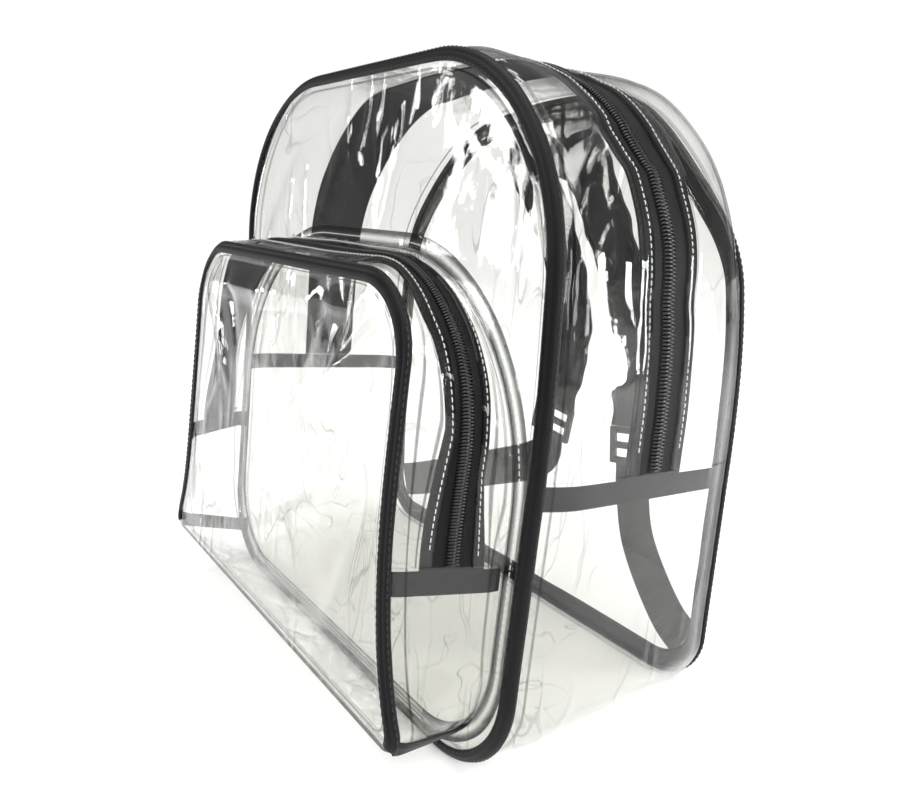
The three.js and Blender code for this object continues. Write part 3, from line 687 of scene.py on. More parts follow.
# From x0, z0 to x1, z1, width and height, all in mm. Height is outwards.
FRONT_CREASES = [
    (135, 240, 40, 300, 12, -2.6), (-135, 225, -80, 292, 11, -2.2), (-20, 300, -55, 235, 7, 1.4),
    (30, 300, 12, 230, 6, -1.2), (-120, 180, -60, 120, 10, 1.0), (100, 200, 128, 120, 8, 1.2),
    (-90, 250, -30, 230, 5, -0.9), (60, 30, 120, 70, 8, -1.0),
]
POCKET_FRONT_CREASES = [
    (-98, 200, 80, 205, 6.5, 5.0), (110, 208, 18, 140, 7.5, 3.6), (52, 216, 24, 158, 6.0, -3.8),
    (84, 214, 66, 176, 4.5, 2.0), (100, 186, 70, 150, 5.0, -1.8), (-108, 214, -62, 145, 8.0, 3.0),
    (-70, 216, -52, 170, 6.0, -1.8), (105, 130, 62, 40, 7.5, 2.2), (-68, 22, 24, 75, 9.5, -2.4),
    (-112, 120, -84, 60, 6.0, 1.8), (20, 44, 70, 92, 8.0, 1.4), (-20, 214, -34, 120, 7.0, 1.2),
    (2, 216, 0, 178, 4.0, -1.2),
]
BACK_CREASES = [
    (-120, 230, -60, 190, 12, 1.6), (120, 230, 60, 200, 12, -1.6), (-60, 40, 20, 90, 12, 1.4),
    (70, 280, 40, 200, 9, 1.5), (-30, 280, -44, 200, 9, -1.4),
]


def front_relief(x, z):
    spots = np.stack([x, np.full(len(x), 11.0), z], 1)
    seam = smooth(distance_to(np.stack([x, z], 1), pocket_seam), 2, 16)
    slack = 1.5 * lumps(spots, 62.0, 1.3) + 0.35 * lumps(spots, 19.0, 5.1)
    return seam * (creases(FRONT_CREASES, x, z) + slack)


def pocket_relief(x, z):
    spots = np.stack([x, np.full(len(x), 4.0), z], 1)
    return creases(POCKET_FRONT_CREASES, x, z) + 1.3 * lumps(spots, 48.0, 2.2) + 0.3 * lumps(spots, 15.0, 6.4)


def back_relief(x, z):
    spots = np.stack([x, np.full(len(x), -7.0), z], 1)
    return 0.35 * (creases(BACK_CREASES, x, z) + 1.2 * lumps(spots, 60.0, 8.2))


make_panel("front_panel_sheet", front_edge, front_plane, -1, front_relief, 150)
make_panel("back_panel_sheet", back_edge, back_plane, 1, back_relief, 150)
make_panel("pocket_front_sheet", pocket_edge, pocket_plane, -1, pocket_relief, 118)

HEM_MARKS = [0.0, 0.5, 3.0, 5.6, 6.3]  # columns of a hem, in from its edge in mm
BODY_GAPS, POCKET_GAPS = (0.8, 0.8), (1.3, 0.0)  # what a gusset leaves free of its front and back seam


def sheet_columns(start, end, body_count):
    """Columns across a strip of sheet, from start(k) to end(k) mm, close together at its two double hems."""
    marks = HEM_MARKS

    def near_start(mm):
        return lambda k: start(k) + mm

    def near_end(mm):
        return lambda k: end(k) - mm

    def between(t):
        return lambda k: start(k) + marks[-1] + (end(k) - start(k) - 2 * marks[-1]) * t

    inner = [between(t) for t in np.linspace(0, 1, body_count + 2)[1:-1]]
    columns = [near_start(m) for m in marks] + inner + [near_end(m) for m in marks[::-1]]
    thick = [STEP] * 4 + [SHEET] * (body_count + 2) + [STEP] * 4
    return columns, thick


def add_sheet_strip(name, shape, run, start, end, count, lift):
    """A strip of a gusset from start(k) to end(k) mm behind its first seam, count columns between hems."""
    columns, thick = sheet_columns(start, end, count)
    rows = strip_rows(shape, run, columns, 0.0, lift)
    outside = shape.normal[run % ROUND][:, None]
    normals = surface_normals(rows, outside)
    rings = strip_rings(rows, normals, thick)
    piece = finish_piece(name + "_sheet", rings.reshape(-1, 3), skin(rings, False), CLEAR_PVC, [name],
                         uv=inward_uv(rows), smooth_angle=50)


zip_run = np.arange(TAPE_TOP, 2 * MIDDLE - TAPE_TOP + 1)
low_run = np.arange(-TAPE_TOP, TAPE_TOP + 1)


def zip_middle(shape, zip_size):
    """How far behind the first seam the middle of the zip runs, as a function of the station."""
    return lambda k: shape.depth[k % ROUND] * zip_size["place"]


def build_gusset(prefix, shape, zip_size, gaps):
    """The two strips beside a zip, and the lower strip. gaps is what they leave free of the seams, in mm."""
    middle = zip_middle(shape, zip_size)
    lap = zip_size["exposed"] / 2

    def seam_start(k):
        return gaps[0]

    def seam_end(k):
        return shape.depth[k] - gaps[1]

    add_sheet_strip(prefix + "gusset_front", shape, zip_run, seam_start, lambda k: middle(k) - lap, 10, 2.3)
    add_sheet_strip(prefix + "gusset_back", shape, zip_run, lambda k: middle(k) + lap, seam_end, 8, 2.3)
    add_sheet_strip(prefix + "lower_gusset", shape, low_run, seam_start, seam_end, 22, -2.0)


build_gusset("", body, MAIN_ZIP, BODY_GAPS)
build_gusset("pocket_", pocket, POCKET_ZIP, POCKET_GAPS)


# Woven bands and the coil zips


def add_band(name, shape, run, columns, offset, material, lift):
    """A woven tape that follows the inside of a gusset."""
    rows = strip_rows(shape, run, columns, offset, lift)
    normals = surface_normals(rows, shape.normal[run % ROUND][:, None])
    rings = strip_rings(rows, normals, BAND)
    piece = finish_piece(name + "_cloth", rings.reshape(-1, 3), skin(rings, False), material, [name],
                         uv=strip_uv(rows))


def even_columns(start, end, count):
    """Columns at even steps from start(k) to end(k) mm."""
    return [lambda k, t=t: start(k) + (end(k) - start(k)) * t for t in np.linspace(0, 1, count)]


def build_zip_tape(prefix, shape, zip_size):
    """The woven tape under both rows of a zip, behind the laps of the sheet."""
    middle = zip_middle(shape, zip_size)
    half = zip_size["band"] / 2
    columns = even_columns(lambda k: middle(k) - half, lambda k: middle(k) + half, 15)
    add_band(prefix + "zip_tape", shape, zip_run, columns, -STEP, ZIP_TWILL, 0.3)


build_zip_tape("", body, MAIN_ZIP)
build_zip_tape("pocket_", pocket, POCKET_ZIP)


def build_joint_tapes(prefix, shape, gaps):
    """The tapes behind the joints of the zipped gusset and the lower one, on both sides of the bag."""
    columns = even_columns(lambda k: gaps[0] + STEP, lambda k: shape.depth[k] - gaps[1] - STEP, 40)
    tape_run = np.arange(TAPE_LOW, TAPE_TOP + 1)
    for side, run in (("left", tape_run), ("right", -tape_run[::-1])):
        add_band(f"{prefix}joint_tape_{side}", shape, run, columns, -STEP - 0.3, JOINT_TWILL, 0.0)


build_joint_tapes("", body, BODY_GAPS)
build_joint_tapes("pocket_", pocket, POCKET_GAPS)


def at_travel(values, travel, stops):
    """Values given at each travel along a line, read off at the stops."""
    return np.stack([np.interp(stops, travel, values[:, c]) for c in range(3)], 1)


def frames_along(points, outs, pitch, first=0.0):
    """Places every pitch mm along a line of points, each with its forward, sideways and outward ways."""
    travel = length_along(points)
    stops = np.arange(first, travel[-1] - first, pitch)
    place = at_travel(points, travel, stops)
    out = unit(at_travel(outs, travel, stops))
    ahead = at_travel(points, travel, stops + 0.5) - at_travel(points, travel, stops - 0.5)
    ahead = unit(ahead - out * across_of(ahead, out))
    return place, ahead, np.cross(ahead, out), out


def copies(name, small_verts, small_faces, frames, material, nodes):
    """Many copies of one small closed form, one on each frame: x runs ahead, y sideways and z outwards."""
    place, ahead, side, out = frames
    x, y, z = (small_verts[None, :, c:c + 1] for c in range(3))
    verts = place[:, None] + x * ahead[:, None] + y * side[:, None] + z * out[:, None]
    count = len(small_verts)
    faces = [tuple(n * count + i for i in face) for n in range(len(place)) for face in small_faces]
    finish_piece(name, verts.reshape(-1, 3), faces, material, nodes, smooth_angle=60)


def tube_faces(cuts, sides):
    """Faces of a small closed tube whose points go round each cut in turn."""
    faces = []
    for n in range(cuts - 1):
        for s in range(sides):
            t = (s + 1) % sides
            faces.append((n * sides + s, n * sides + t, (n + 1) * sides + t, (n + 1) * sides + s))
    faces.append(tuple(range(sides)))
    faces.append(tuple(range(cuts * sides - 1, cuts * sides - 1 - sides, -1)))
    return faces


def tooth_form(half_width, proud, wide, way):
    """One turn of a zip's coil: it rises from its foot at the side, arches over and ends past the middle."""
    path = [(-0.95, -0.1), (-1.0, 0.35), (-0.8, 0.82), (-0.35, 1.0), (0.1, 0.96), (0.26, 0.6)]
    swell = [0.8, 0.95, 1.0, 1.05, 1.25, 0.9]
    verts = []
    sides = 6
    for n, ((y, z), grow) in enumerate(zip(path, swell)):
        before, after = path[max(0, n - 1)], path[min(len(path) - 1, n + 1)]
        dy, dz = (after[0] - before[0]) * half_width, (after[1] - before[1]) * proud
        long = math.hypot(dy, dz)
        up = (-dz / long, dy / long)
        for s in range(sides):
            turn = 2 * math.pi * (s + 0.5) / sides
            across, rise = math.cos(turn) * wide * grow / 2, math.sin(turn) * wide * grow / 2
            lean = 0.16 * half_width * (n / (len(path) - 1) - 0.5)
            verts.append((across + lean, way * (y * half_width + up[0] * rise),
                          z * proud + up[1] * rise - wide / 2))
    return np.array(verts), tube_faces(len(path), sides)


def build_coil(prefix, shape, zip_size, pitch):
    """Two rows of coil turns that mesh along the middle of a zip, pitch mm apart and half a pitch out."""
    line = shape.at(zip_run, zip_middle(shape, zip_size)(zip_run), -0.75)
    points = shift_ends(line, 2.3)
    outs = shape.normal[zip_run % ROUND]
    wide = pitch * 0.62
    for label, way, start in (("one", 1, pitch * 0.6), ("two", -1, pitch * 1.1)):
        verts, faces = tooth_form(zip_size["coil"] / 2 - wide / 4, zip_size["proud"] - 0.1, wide, way)
        frames = frames_along(points, outs, pitch, start)
        copies(f"{prefix}zip_coil_side_{label}", verts, faces, frames, COIL, [prefix + "zip_coil"])


build_coil("", body, MAIN_ZIP, 1.6)
build_coil("pocket_", pocket, POCKET_ZIP, 1.35)


# Bindings

GROOVE_POINT = 8  # which point of binding_section lies in the groove between the two legs


def binding_section(size):
    """Along a leg from the seam, height off the sheet, and which leg: 0 panel's, 1 gusset's, 2 the corner."""
    leg, near = size["leg"], OFF_SHEET
    panel_leg = size.get("panel_leg", leg)
    far = near + size["thick"]
    half = [(1.0, near, 0), (1.04, near + 0.3, 0), (0.98, near + 0.75, 0), (0.84, far - 0.12, 0),
            (0.62, far, 0), (0.38, far, 0), (0.18, far - 0.1, 0), (0.05, far - 0.45, 0)]
    outer = half + [(0, far - size["groove"], 2)] + [(s, h, 1) for s, h, _ in half[::-1]]
    inner = [(0.5, near - 0.02, 1), (0, near - 0.02, 2), (0.5, near - 0.02, 0)]
    return [(s * (panel_leg if way == 0 else leg), h, way) for s, h, way in outer + inner]


def add_binding(name, size, edge, plane, ahead, run, loop):
    """Tape folded over a seam. ahead is the way the gusset's sheet comes out of that seam."""
    lean = plane(1.0) - plane(0.0)
    normal = np.array([0.0, -1.0, lean]) / math.hypot(1, lean)
    k = run % ROUND
    seam = np.stack([edge[k, 0], plane(edge[k, 1]), edge[k, 1]], 1)
    out = outwards(edge)[k]
    panel_way = unit(np.stack([out[:, 0], lean * out[:, 2], out[:, 2]], 1))
    tangent = np.cross(normal, panel_way)
    ahead = unit(ahead - tangent * across_of(ahead, tangent))
    cosine = across_of(panel_way, ahead)
    skew = np.sqrt(1 - cosine * cosine)
    off_panel = (ahead - panel_way * cosine) / skew
    off_gusset = (panel_way - ahead * cosine) / skew
    corner = (panel_way + ahead) / skew
    # A hand-guided tape is a little wider in one place than in the next
    uneven = 1 + 0.05 * lumps(seam, 21.0, 2.6)[:, None]
    rings = []
    for mm, height, way in binding_section(size):
        if way == 0:
            rings.append(seam - panel_way * mm * uneven + off_panel * height)
        elif way == 1:
            rings.append(seam - ahead * mm * uneven + off_gusset * height)
        else:
            rings.append(seam + corner * height)
    rings = np.stack(rings, 1)
    along = length_along(seam)
    across = length_along(rings[0])
    across -= across[GROOVE_POINT]
    piece = finish_piece(name + "_tape", rings.reshape(-1, 3), skin(rings, loop), BINDING_TWILL, [name],
                         uv=grid_uv(along, across), smooth_angle=50)
    return seam, panel_way, ahead, off_panel, off_gusset


whole_run = np.arange(ROUND)
pocket_run = np.arange(5 * FINE, 53 * FINE + 1)
BACK_BOUND = dict(BINDING, panel_leg=8.0)
front_bound = add_binding("front_binding", BINDING, front_edge, front_plane, body.frontwards(whole_run),
                          whole_run, True)
back_bound = add_binding("back_binding", BACK_BOUND, back_edge, back_plane, body.backwards(whole_run),
                         whole_run, True)
pocket_bound = add_binding("pocket_binding", POCKET_BINDING, pocket_edge, pocket_plane,
                           pocket.frontwards(pocket_run), pocket_run, False)


# Stitches, hems and corner tapes


def stitch_form(long, wide, high):
    """One stitch: a thread that dives into its two holes."""
    verts = []
    cuts = [(-1.0, -0.7), (-0.72, 0.05), (-0.3, 0.5), (0.3, 0.5), (0.72, 0.05), (1.0, -0.7)]
    sides = 6
    for x, z in cuts:
        for s in range(sides):
            turn = 2 * math.pi * s / sides
            verts.append((x * long / 2, math.cos(turn) * wide / 2, z * high + math.sin(turn) * wide / 2))
    return np.array(verts), tube_faces(len(cuts), sides)


# The zip rows use the clear thread, drawn pale as painted glints
ZIP_STITCH = dict(pitch=3.0, wide=0.42, thread=CLEAR_THREAD, slot="clear_pvc")
BINDING_STITCH = dict(pitch=3.2, wide=0.4, thread=BLACK_THREAD, slot="black_tape")


def add_stitches(name, points, outs, pitch, wide, thread, slot):
    verts, faces = stitch_form(pitch * 0.62, wide, wide * 0.5)
    frames = frames_along(points, outs, pitch, pitch)
    copies(name, verts, faces, frames, thread, [])


def build_zip_stitches(prefix, shape, zip_size, inset):
    """A row of stitches each side of the zip, through the lap of the sheet and the tape behind it."""
    middle = zip_middle(shape, zip_size)(zip_run)
    outs = shape.normal[zip_run % ROUND]
    for label, side in (("front", -1), ("back", 1)):
        line = shape.at(zip_run, middle + side * (zip_size["exposed"] / 2 + inset), STEP / 2 + 0.15)[3:-3]
        add_stitches(f"{prefix}zip_stitches_{label}", line, outs[3:-3], **ZIP_STITCH)


build_zip_stitches("", body, MAIN_ZIP, 2.4)
build_zip_stitches("pocket_", pocket, POCKET_ZIP, 2.0)


def build_binding_stitches(name, size, bound):
    """A row of stitches along each leg of a binding."""
    seam, panel_way, ahead, off_panel, off_gusset = bound
    mm, high = size["leg"] * 0.66, OFF_SHEET + size["thick"] + 0.05
    for leg, way, off in (("panel", panel_way, off_panel), ("gusset", ahead, off_gusset)):
        line = seam - way * mm + off * high
        add_stitches(f"{name}_stitches_{leg}", line, off, **BINDING_STITCH)


build_binding_stitches("front_binding", BINDING, front_bound)
build_binding_stitches("back_binding", BINDING, back_bound)
build_binding_stitches("pocket_binding", POCKET_BINDING, pocket_bound)


def build_pocket_hem():
    """The pocket's edge is turned out flat on the front panel and sewn down with one row of stitches."""
    run = np.arange(3 * FINE, 55 * FINE + 1)
    edge = pocket_seam[run]
    out = outwards(pocket_seam)[run][:, [0, 2]]
    rows = []
    for mm in (0.2, 0.8, 4.0, 7.4, 8.0):
        flat = edge + out * mm
        rows.append(np.stack([flat[:, 0], front_plane(flat[:, 1]) - 1.05, flat[:, 1]], 1))
    rows = np.stack(rows, 1)
    outside = np.broadcast_to([0.0, -1.0, FRONT_LEAN], (len(run), 1, 3))
    rings = strip_rings(rows, surface_normals(rows, outside), SHEET)
    hem = finish_piece("pocket_hem_sheet", rings.reshape(-1, 3), skin(rings, False), CLEAR_PVC,
                       ["pocket_gusset_back"], uv=inward_uv(rows))
    add_stitches("pocket_hem_stitches", rows[:, 2] + [0, -0.6, 0], outside[:, 0], **ZIP_STITCH)


build_pocket_hem()


def build_corner_tape(name, shape, middle, radii):
    """Binding that runs back over a bottom corner of the pocket to the bag's own front seam."""
    k = round(middle * FINE)
    deep = shape.depth[k % ROUND]
    mm = np.linspace(2.0, deep - 1.0, 16)
    spine = shape.at(np.full(16, k), mm, 1.0)
    aside = unit(shape.at(np.full(16, k + 3), mm, 1.0) - shape.at(np.full(16, k - 3), mm, 1.0))
    radius = np.interp(mm, [0, deep], radii)
    out = np.repeat(shape.normal[k % ROUND][None], 16, 0)
    rows = np.stack([spine + aside * w - out * (w * w / (2 * radius))[:, None]
                     for w in np.linspace(-4.2, 4.2, 9)], 1)
    crown = [1.0, 1.2, 1.3, 1.15, 0.7, 1.15, 1.3, 1.2, 1.0]
    rings = strip_rings(rows, surface_normals(rows, out[:, None]), crown)
    tape = finish_piece(name, rings.reshape(-1, 3), skin(rings, False), BINDING_TWILL, ["pocket_binding"],
                        uv=strip_uv(rows))


build_corner_tape("pocket_corner_tape_left", pocket, 5.5, (14.0, 44.0))
build_corner_tape("pocket_corner_tape_right", pocket, 52.5, (14.0, 44.0))


# Straps, webbing and haul loop

BACK_HEIGHT, BACK_HALF_WIDTH = BACK_EDGE["top"], BACK_EDGE["half_width"]
BACK_OUT = np.array([0.0, 1.0, -BACK_LEAN]) / math.hypot(1, BACK_LEAN)
STRAP = dict(wide=32.0, thick=4.0)
WEB = dict(wide=25.0, thick=1.6)
BUCKLE = dict(wide=34.0, long=22.0, thick=3.2, bar=4.0, clear=0.4)
STRAP_SLACK = 20.0
LEFT_STRAP = dict(padded=[(.12, .984, -.03), (.16, .93, 0), (.30, .78, .35), (.42, .58, 1), (.48, .40, .9)],
                  webbing=[(.62, .20, .4), (.84, .10, 0), (.925, .075, -.02)])
RIGHT_STRAP = dict(padded=[(-.22, .976, -.03), (-.17, .92, 0), (.02, .76, .35), (.08, .57, 1),
                           (.04, .40, .9)],
                   webbing=[(-.38, .19, .4), (-.84, .10, 0), (-.93, .085, -.02)])


def strap_points(rows):
    """Rows are shares of the back's half width and height, and of the strap's slack off the back."""
    spots = []
    for x, z, off in rows:
        height = z * BACK_HEIGHT
        spots.append(np.array([x * BACK_HALF_WIDTH, back_plane(height), height])
                     + BACK_OUT * (CLEAR_OF_SHEET + STRAP["thick"] / 2 + off * STRAP_SLACK))
    return spots


def smooth_curve(points, count):
    """A curve through the points, sampled at even steps."""
    p = [np.asarray(q, float) for q in points]
    p = [2 * p[0] - p[1]] + p + [2 * p[-1] - p[-2]]
    dense = []
    for a, b, c, d in zip(p, p[1:], p[2:], p[3:]):
        k1, k2, k3 = (max(np.linalg.norm(q - r), 1e-6) ** 0.5 for q, r in ((b, a), (c, b), (d, c)))
        m1 = ((b - a) / k1 - (c - a) / (k1 + k2) + (c - b) / k2) * k2
        m2 = ((c - b) / k2 - (d - b) / (k2 + k3) + (d - c) / k3) * k2
        for t in np.arange(0, 1, 0.01):
            dense.append((2 * t**3 - 3 * t**2 + 1) * b + (t**3 - 2 * t**2 + t) * m1
                         + (3 * t**2 - 2 * t**3) * c + (t**3 - t**2) * m2)
    dense = np.array(dense + [p[-2]])
    travel = length_along(dense)
    stops = np.linspace(0, travel[-1], count)
    return at_travel(dense, travel, stops)


def strap_axes(points):
    """Along the strap, across it and off its face, at each point."""
    along = unit(np.gradient(points, axis=0))
    across = unit(np.cross(along, BACK_OUT))
    return along, across, np.cross(across, along)


def add_sweep(name, points, across, off, section, material, nodes):
    """section(share of the run) gives points as across and off, in mm."""
    rings = []
    for n, spot in enumerate(points):
        flat = np.asarray(section(n / (len(points) - 1)), float)
        rings.append(spot + flat[:, :1] * across[n] + flat[:, 1:] * off[n])
    rings = np.array(rings)
    along = length_along(points)
    around = length_along(rings[0])
    return finish_piece(name, rings.reshape(-1, 3), skin(rings, False), material, nodes,
                        uv=grid_uv(along, around))


def closed_section(half, wide, thick):
    """A section from one edge to its middle, mirrored across and below."""
    top = [(-x, h) for x, h in half] + half[-2::-1]
    return [(x * wide, h * thick) for x, h in top + [(x, -h) for x, h in top[::-1]]]


def pad_section(share):
    """A foam strap between two faces of cloth: crowned, pinched along two stitch lines, with bound edges."""
    wide, thick = STRAP["wide"] / 2, STRAP["thick"] / 2
    puff = 1 + 0.1 * math.sin(share * 41) * math.sin(share * 13 + 1)
    wide += 0.7 * math.sin(share * 37 + 0.6) + 0.5 * math.sin(share * 71)
    half = [(1.0, 0.30), (0.97, 0.62), (0.88, 0.66), (0.80, 0.34), (0.70, 0.78), (0.50, 0.96 * puff),
            (0.25, puff), (0, puff)]
    return closed_section(half, wide, thick)


def tape_section(size):
    """Flat webbing with rounded selvedges."""
    half = [(1.0, 0.35), (0.96, 0.85), (0.9, 1.0), (0.45, 1.0), (0, 1.0)]
    return closed_section(half, size["wide"] / 2, size["thick"] / 2)


def add_buckle(name, node, place, across, along, off):
    """Three-bar buckle: a slab with two slots cut through it, its edges rounded, set down on its strap."""
    bpy.ops.object.select_all(action="DESELECT")
    bpy.ops.mesh.primitive_grid_add(x_subdivisions=3, y_subdivisions=5, size=1.0)
    buckle = bpy.context.object
    buckle.name = name
    wide, long, bar = BUCKLE["wide"] * MM, BUCKLE["long"] * MM, BUCKLE["bar"] * MM
    slot = (long - 3 * bar) / 2
    xs = [-wide / 2, -wide / 2 + bar, wide / 2 - bar, wide / 2]
    ys = [-long / 2, -long / 2 + bar, -bar / 2, bar / 2, long / 2 - bar, long / 2]
    grid = buckle.data
    for vertex in grid.vertices:
        column = round((vertex.co.x + 0.5) * 3)
        row = round((vertex.co.y + 0.5) * 5)
        vertex.co = (xs[column], ys[row], 0)
    bpy.ops.object.mode_set(mode="EDIT")
    bpy.ops.mesh.select_mode(type="FACE")
    bpy.ops.mesh.select_all(action="DESELECT")
    bpy.ops.object.mode_set(mode="OBJECT")
    for face in grid.polygons:
        x, y, _ = face.center
        face.select = abs(x) < wide / 2 - bar and bar / 2 < abs(y) < long / 2 - bar
    bpy.ops.object.mode_set(mode="EDIT")
    bpy.ops.mesh.delete(type="FACE")
    bpy.ops.mesh.select_all(action="SELECT")
    bpy.ops.mesh.extrude_region_move(TRANSFORM_OT_translate={"value": (0, 0, BUCKLE["thick"] * MM)})
    bpy.ops.mesh.select_all(action="SELECT")
    bpy.ops.transform.translate(value=(0, 0, -BUCKLE["thick"] * MM / 2))
    bpy.ops.mesh.normals_make_consistent(inside=False)
    bpy.ops.object.mode_set(mode="OBJECT")
    rounded(buckle, 0.9, 3)
    settle(buckle, place, across, along, off)
    hand_over(buckle, ACETAL, [node], 40)


def settle(piece, place, x_way, y_way, z_way):
    """Turns a piece from its own axes to the bag's, puts it in place and applies that."""
    turn = Matrix((x_way, y_way, z_way)).transposed().to_4x4()
    piece.matrix_world = Matrix.Translation(Vector(place) * MM) @ turn
    pick_piece(piece)
    bpy.ops.object.transform_apply(location=True, rotation=True, scale=True)


def build_strap(side, rows):
    """One padded strap, its buckle, and the webbing that runs from the buckle down to the bottom corner."""
    points = smooth_curve(strap_points(rows["padded"]), 90)
    along, across, off = strap_axes(points)
    strap = add_sweep(f"shoulder_strap_{side}_pad", points, across, off, pad_section, STRAP_NYLON,
                      [f"shoulder_strap_{side}"])
    end, ahead = points[-1], along[-1]
    seat = end + ahead * (BUCKLE["clear"] + BUCKLE["long"] / 2)
    add_buckle(f"strap_buckle_{side}_moulded", f"strap_buckle_{side}", seat, across[-1], ahead, off[-1])
    start = BUCKLE["long"] + 2 * BUCKLE["clear"]
    lead = [end + ahead * start, end + ahead * (start + WEB["wide"] / 2)]
    tail = smooth_curve(lead + strap_points(rows["webbing"]), 60)
    _, tail_across, tail_off = strap_axes(tail)
    web = add_sweep(f"strap_webbing_{side}_web", tail, tail_across, tail_off, lambda share: tape_section(WEB),
                    WEBBING, [f"strap_webbing_{side}"])


LOOP = dict(wide=20.0, thick=1.6, span=50.0, tab=10.0, off=24.0, droop=12.0, place=0.925, seat=3.2)


def build_haul_loop():
    """Webbing that lies flat on the back at both ends and stands off it between them."""
    half = LOOP["span"] / 2
    lie = CLEAR_OF_SHEET + STRAP["thick"] + LOOP["seat"] + LOOP["thick"] / 2
    shares = np.linspace(-1 - LOOP["tab"] / half, 1 + LOOP["tab"] / half, 70)
    rise = np.maximum(0, 1 - shares * shares) ** 2
    z = BACK_HEIGHT * LOOP["place"] - LOOP["droop"] * rise
    points = np.stack([shares * half, back_plane(z), z], 1) + BACK_OUT * (lie + LOOP["off"] * rise)[:, None]
    along = unit(np.gradient(points, axis=0))
    up = np.array([0.0, BACK_LEAN, 1.0]) / math.hypot(1, BACK_LEAN)
    across = unit(up - along * across_of(along, up[None]))
    loop = add_sweep("haul_loop_web", points, across, np.cross(across, along),
                     lambda share: tape_section(LOOP), WEBBING, ["haul_loop"])


build_strap("left", LEFT_STRAP)
build_strap("right", RIGHT_STRAP)
build_haul_loop()


# Zip sliders


def cast_block(long, wide, high, at):
    """A block of metal of that size in mm, centred at a place, ready to be shaped in edit mode."""
    bpy.ops.object.select_all(action="DESELECT")
    bpy.ops.mesh.primitive_cube_add(size=1.0)
    block = bpy.context.object
    block.scale = (long * MM, wide * MM, high * MM)
    block.location = Vector(at) * MM
    bpy.ops.object.transform_apply(location=True, rotation=True, scale=True)
    return block


def pick_faces(block, wanted):
    """Goes into edit mode with only the faces selected whose centre, in mm, is wanted."""
    bpy.ops.object.mode_set(mode="EDIT")
    bpy.ops.mesh.select_mode(type="FACE")
    bpy.ops.mesh.select_all(action="DESELECT")
    bpy.ops.object.mode_set(mode="OBJECT")
    for face in block.data.polygons:
        face.select = wanted(*(face.center / MM), face.normal)
    bpy.ops.object.mode_set(mode="EDIT")


def add_slider(name, node, shape, zip_size, index):
    """A cast slider: a tapered shell over the coil, a crown on top, and a flat pull that widens outwards."""
    low = zip_size["proud"] - 0.2
    shell = cast_block(11.0, 9.0, 2.6, (0, 0, low + 1.3))
    pick_faces(shell, lambda x, y, z, n: n.x > 0.9)
    bpy.ops.transform.resize(value=(1, 0.72, 1))
    bpy.ops.object.mode_set(mode="OBJECT")
    pick_faces(shell, lambda x, y, z, n: n.z > 0.9)
    bpy.ops.mesh.inset(thickness=1.1 * MM)
    bpy.ops.transform.translate(value=(0, 0, 0.4 * MM))
    bpy.ops.object.mode_set(mode="OBJECT")
    rounded(shell, 0.6, 2)
    crown = cast_block(6.5, 2.4, 1.6, (0, 0, low + 4.0))
    pick_faces(crown, lambda x, y, z, n: abs(n.x) > 0.9)
    bpy.ops.mesh.extrude_region_move(TRANSFORM_OT_translate={"value": (0, 0, -1.5 * MM)})
    bpy.ops.object.mode_set(mode="OBJECT")
    rounded(crown, 0.4, 2)
    pull = cast_block(22.0, 4.6, 1.3, (14.5, 0, low + 3.9))
    pick_faces(pull, lambda x, y, z, n: n.x > 0.9)
    bpy.ops.transform.resize(value=(1, 1.5, 1))
    bpy.ops.object.mode_set(mode="OBJECT")
    pick_faces(pull, lambda x, y, z, n: n.z > 0.9)
    bpy.ops.mesh.inset(thickness=1.0 * MM)
    bpy.ops.transform.translate(value=(0, 0, -0.35 * MM))
    bpy.ops.object.mode_set(mode="OBJECT")
    rounded(pull, 0.35, 2)
    bpy.ops.object.select_all(action="DESELECT")
    for part in (shell, crown, pull):
        part.select_set(True)
    bpy.context.view_layer.objects.active = shell
    bpy.ops.object.join()
    shell.name = name
    k = np.array([index * FINE, (index + 1) * FINE])
    here, there = shape.at(k, zip_middle(shape, zip_size)(k))
    out = shape.normal[k[0]]
    down = unit(there - here)
    down = unit(down - out * (down * out).sum())
    settle(shell, here, down, np.cross(out, down), out)
    bpy.ops.object.mode_set(mode="EDIT")
    bpy.ops.mesh.select_all(action="SELECT")
    bpy.ops.mesh.normals_make_consistent(inside=False)
    bpy.ops.object.mode_set(mode="OBJECT")
    hand_over(shell, ENAMEL, [node], 35)


add_slider("zip_slider_cast", "zip_slider", body, MAIN_ZIP, 42)
add_slider("pocket_zip_slider_cast", "pocket_zip_slider", pocket, POCKET_ZIP, 43)


# Floor, world and lamps


def make_floor():
    """Matt white board under the bag, with a faint mottle 33 mm across."""
    material, tree = new_material("matt_white_board")
    place = add_node(tree, "TexCoord").outputs["Object"]
    mottle = add_node(tree, "TexNoise", Vector=place, Scale=30.0, Detail=3.0)
    tone = add_node(tree, "Mix", mottle, data_type="RGBA", i6=linear("F4F4F4"), i7=linear("FBFBFB"))
    board = add_node(tree, "BsdfPrincipled", tone.outputs[2], Roughness=0.9, Emission_Color=linear("FFFFFF"),
                     Emission_Strength=0.1)
    add_node(tree, "OutputMaterial", board)
    bpy.ops.object.select_all(action="DESELECT")
    bpy.ops.mesh.primitive_plane_add(size=12.0, location=(0, 0, -0.0002))
    floor = bpy.context.object
    floor.name = "floor"
    floor.data.materials.append(material)


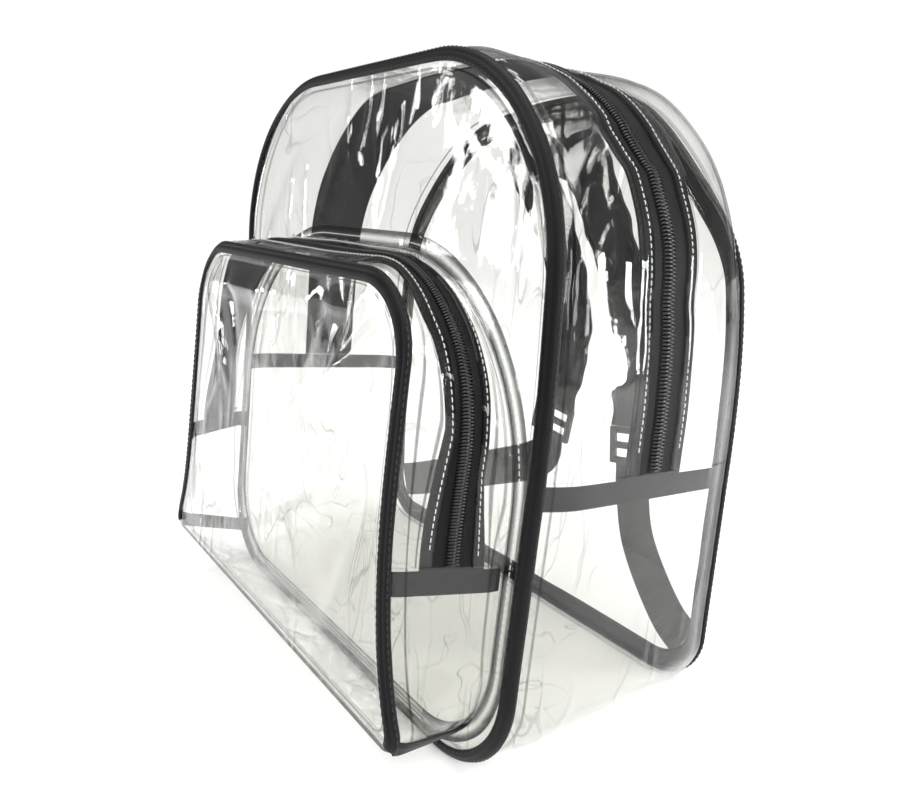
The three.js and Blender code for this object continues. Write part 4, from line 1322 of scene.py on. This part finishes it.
def make_world():
    """White paper behind the bag. All that the camera doesn't see directly gets a dim ceiling instead."""
    world = bpy.data.worlds.new("studio")
    bpy.context.scene.world = world
    world.use_nodes = True
    tree = world.node_tree
    tree.nodes.clear()
    way = add_node(tree, "TexCoord").outputs["Generated"]
    split = add_node(tree, "SeparateXYZ", way)
    height = add_node(tree, "MapRange", split.outputs[2], 0.0, 0.7, 0.24, 0.10)
    ceiling = add_node(tree, "Background", linear("FFFFFF"), height)
    paper = add_node(tree, "Background", linear("FFFFFF"), 1.04)
    seen = add_node(tree, "LightPath").outputs["Is Camera Ray"]
    both = add_node(tree, "MixShader", seen, ceiling, paper)
    add_node(tree, "OutputWorld", both)


def add_softbox(name, place, aim, wide, high, power):
    """A rectangular softbox, in metres and watts, turned to what it lights."""
    lamp = bpy.data.lights.new(name, "AREA")
    lamp.shape = "RECTANGLE"
    lamp.size, lamp.size_y, lamp.energy = wide, high, power
    box = bpy.data.objects.new(name, lamp)
    bpy.context.collection.objects.link(box)
    box.location = place
    box.rotation_euler = (Vector(aim) - Vector(place)).to_track_quat("-Z", "Y").to_euler()


def add_sun(name, way, strength):
    """Even light from a whole soft ceiling."""
    lamp = bpy.data.lights.new(name, "SUN")
    lamp.energy = strength
    lamp.angle = math.radians(80)
    sun = bpy.data.objects.new(name, lamp)
    bpy.context.collection.objects.link(sun)
    sun.rotation_euler = Vector(way).to_track_quat("Z", "Y").to_euler()


make_floor()
make_world()
add_softbox("key", (1.2, -0.7, 1.3), (0, 0, 0.15), 0.36, 0.26, 7)
add_softbox("strip", (1.5, 0.6, 0.5), (0, 0, 0.2), 0.10, 0.7, 3)
add_softbox("window", (1.05, 0.80, 0.30), (0.1, 0, 0.2), 0.20, 0.40, 12)
add_softbox("window_left", (-1.15, -0.95, 0.40), (0, -0.1, 0.2), 0.14, 0.6, 5)
add_softbox("top", (-0.4, 0.3, 1.6), (0, 0, 0.2), 0.42, 0.30, 5)
add_sun("daylight", (0.3, -0.2, 1.0), 3.15)

scene = bpy.context.scene
scene.view_settings.view_transform = "Standard"
scene.cycles.transparent_max_bounces = 40
scene.cycles.max_bounces = 8
scene.cycles.diffuse_bounces = 2
scene.cycles.glossy_bounces = 3
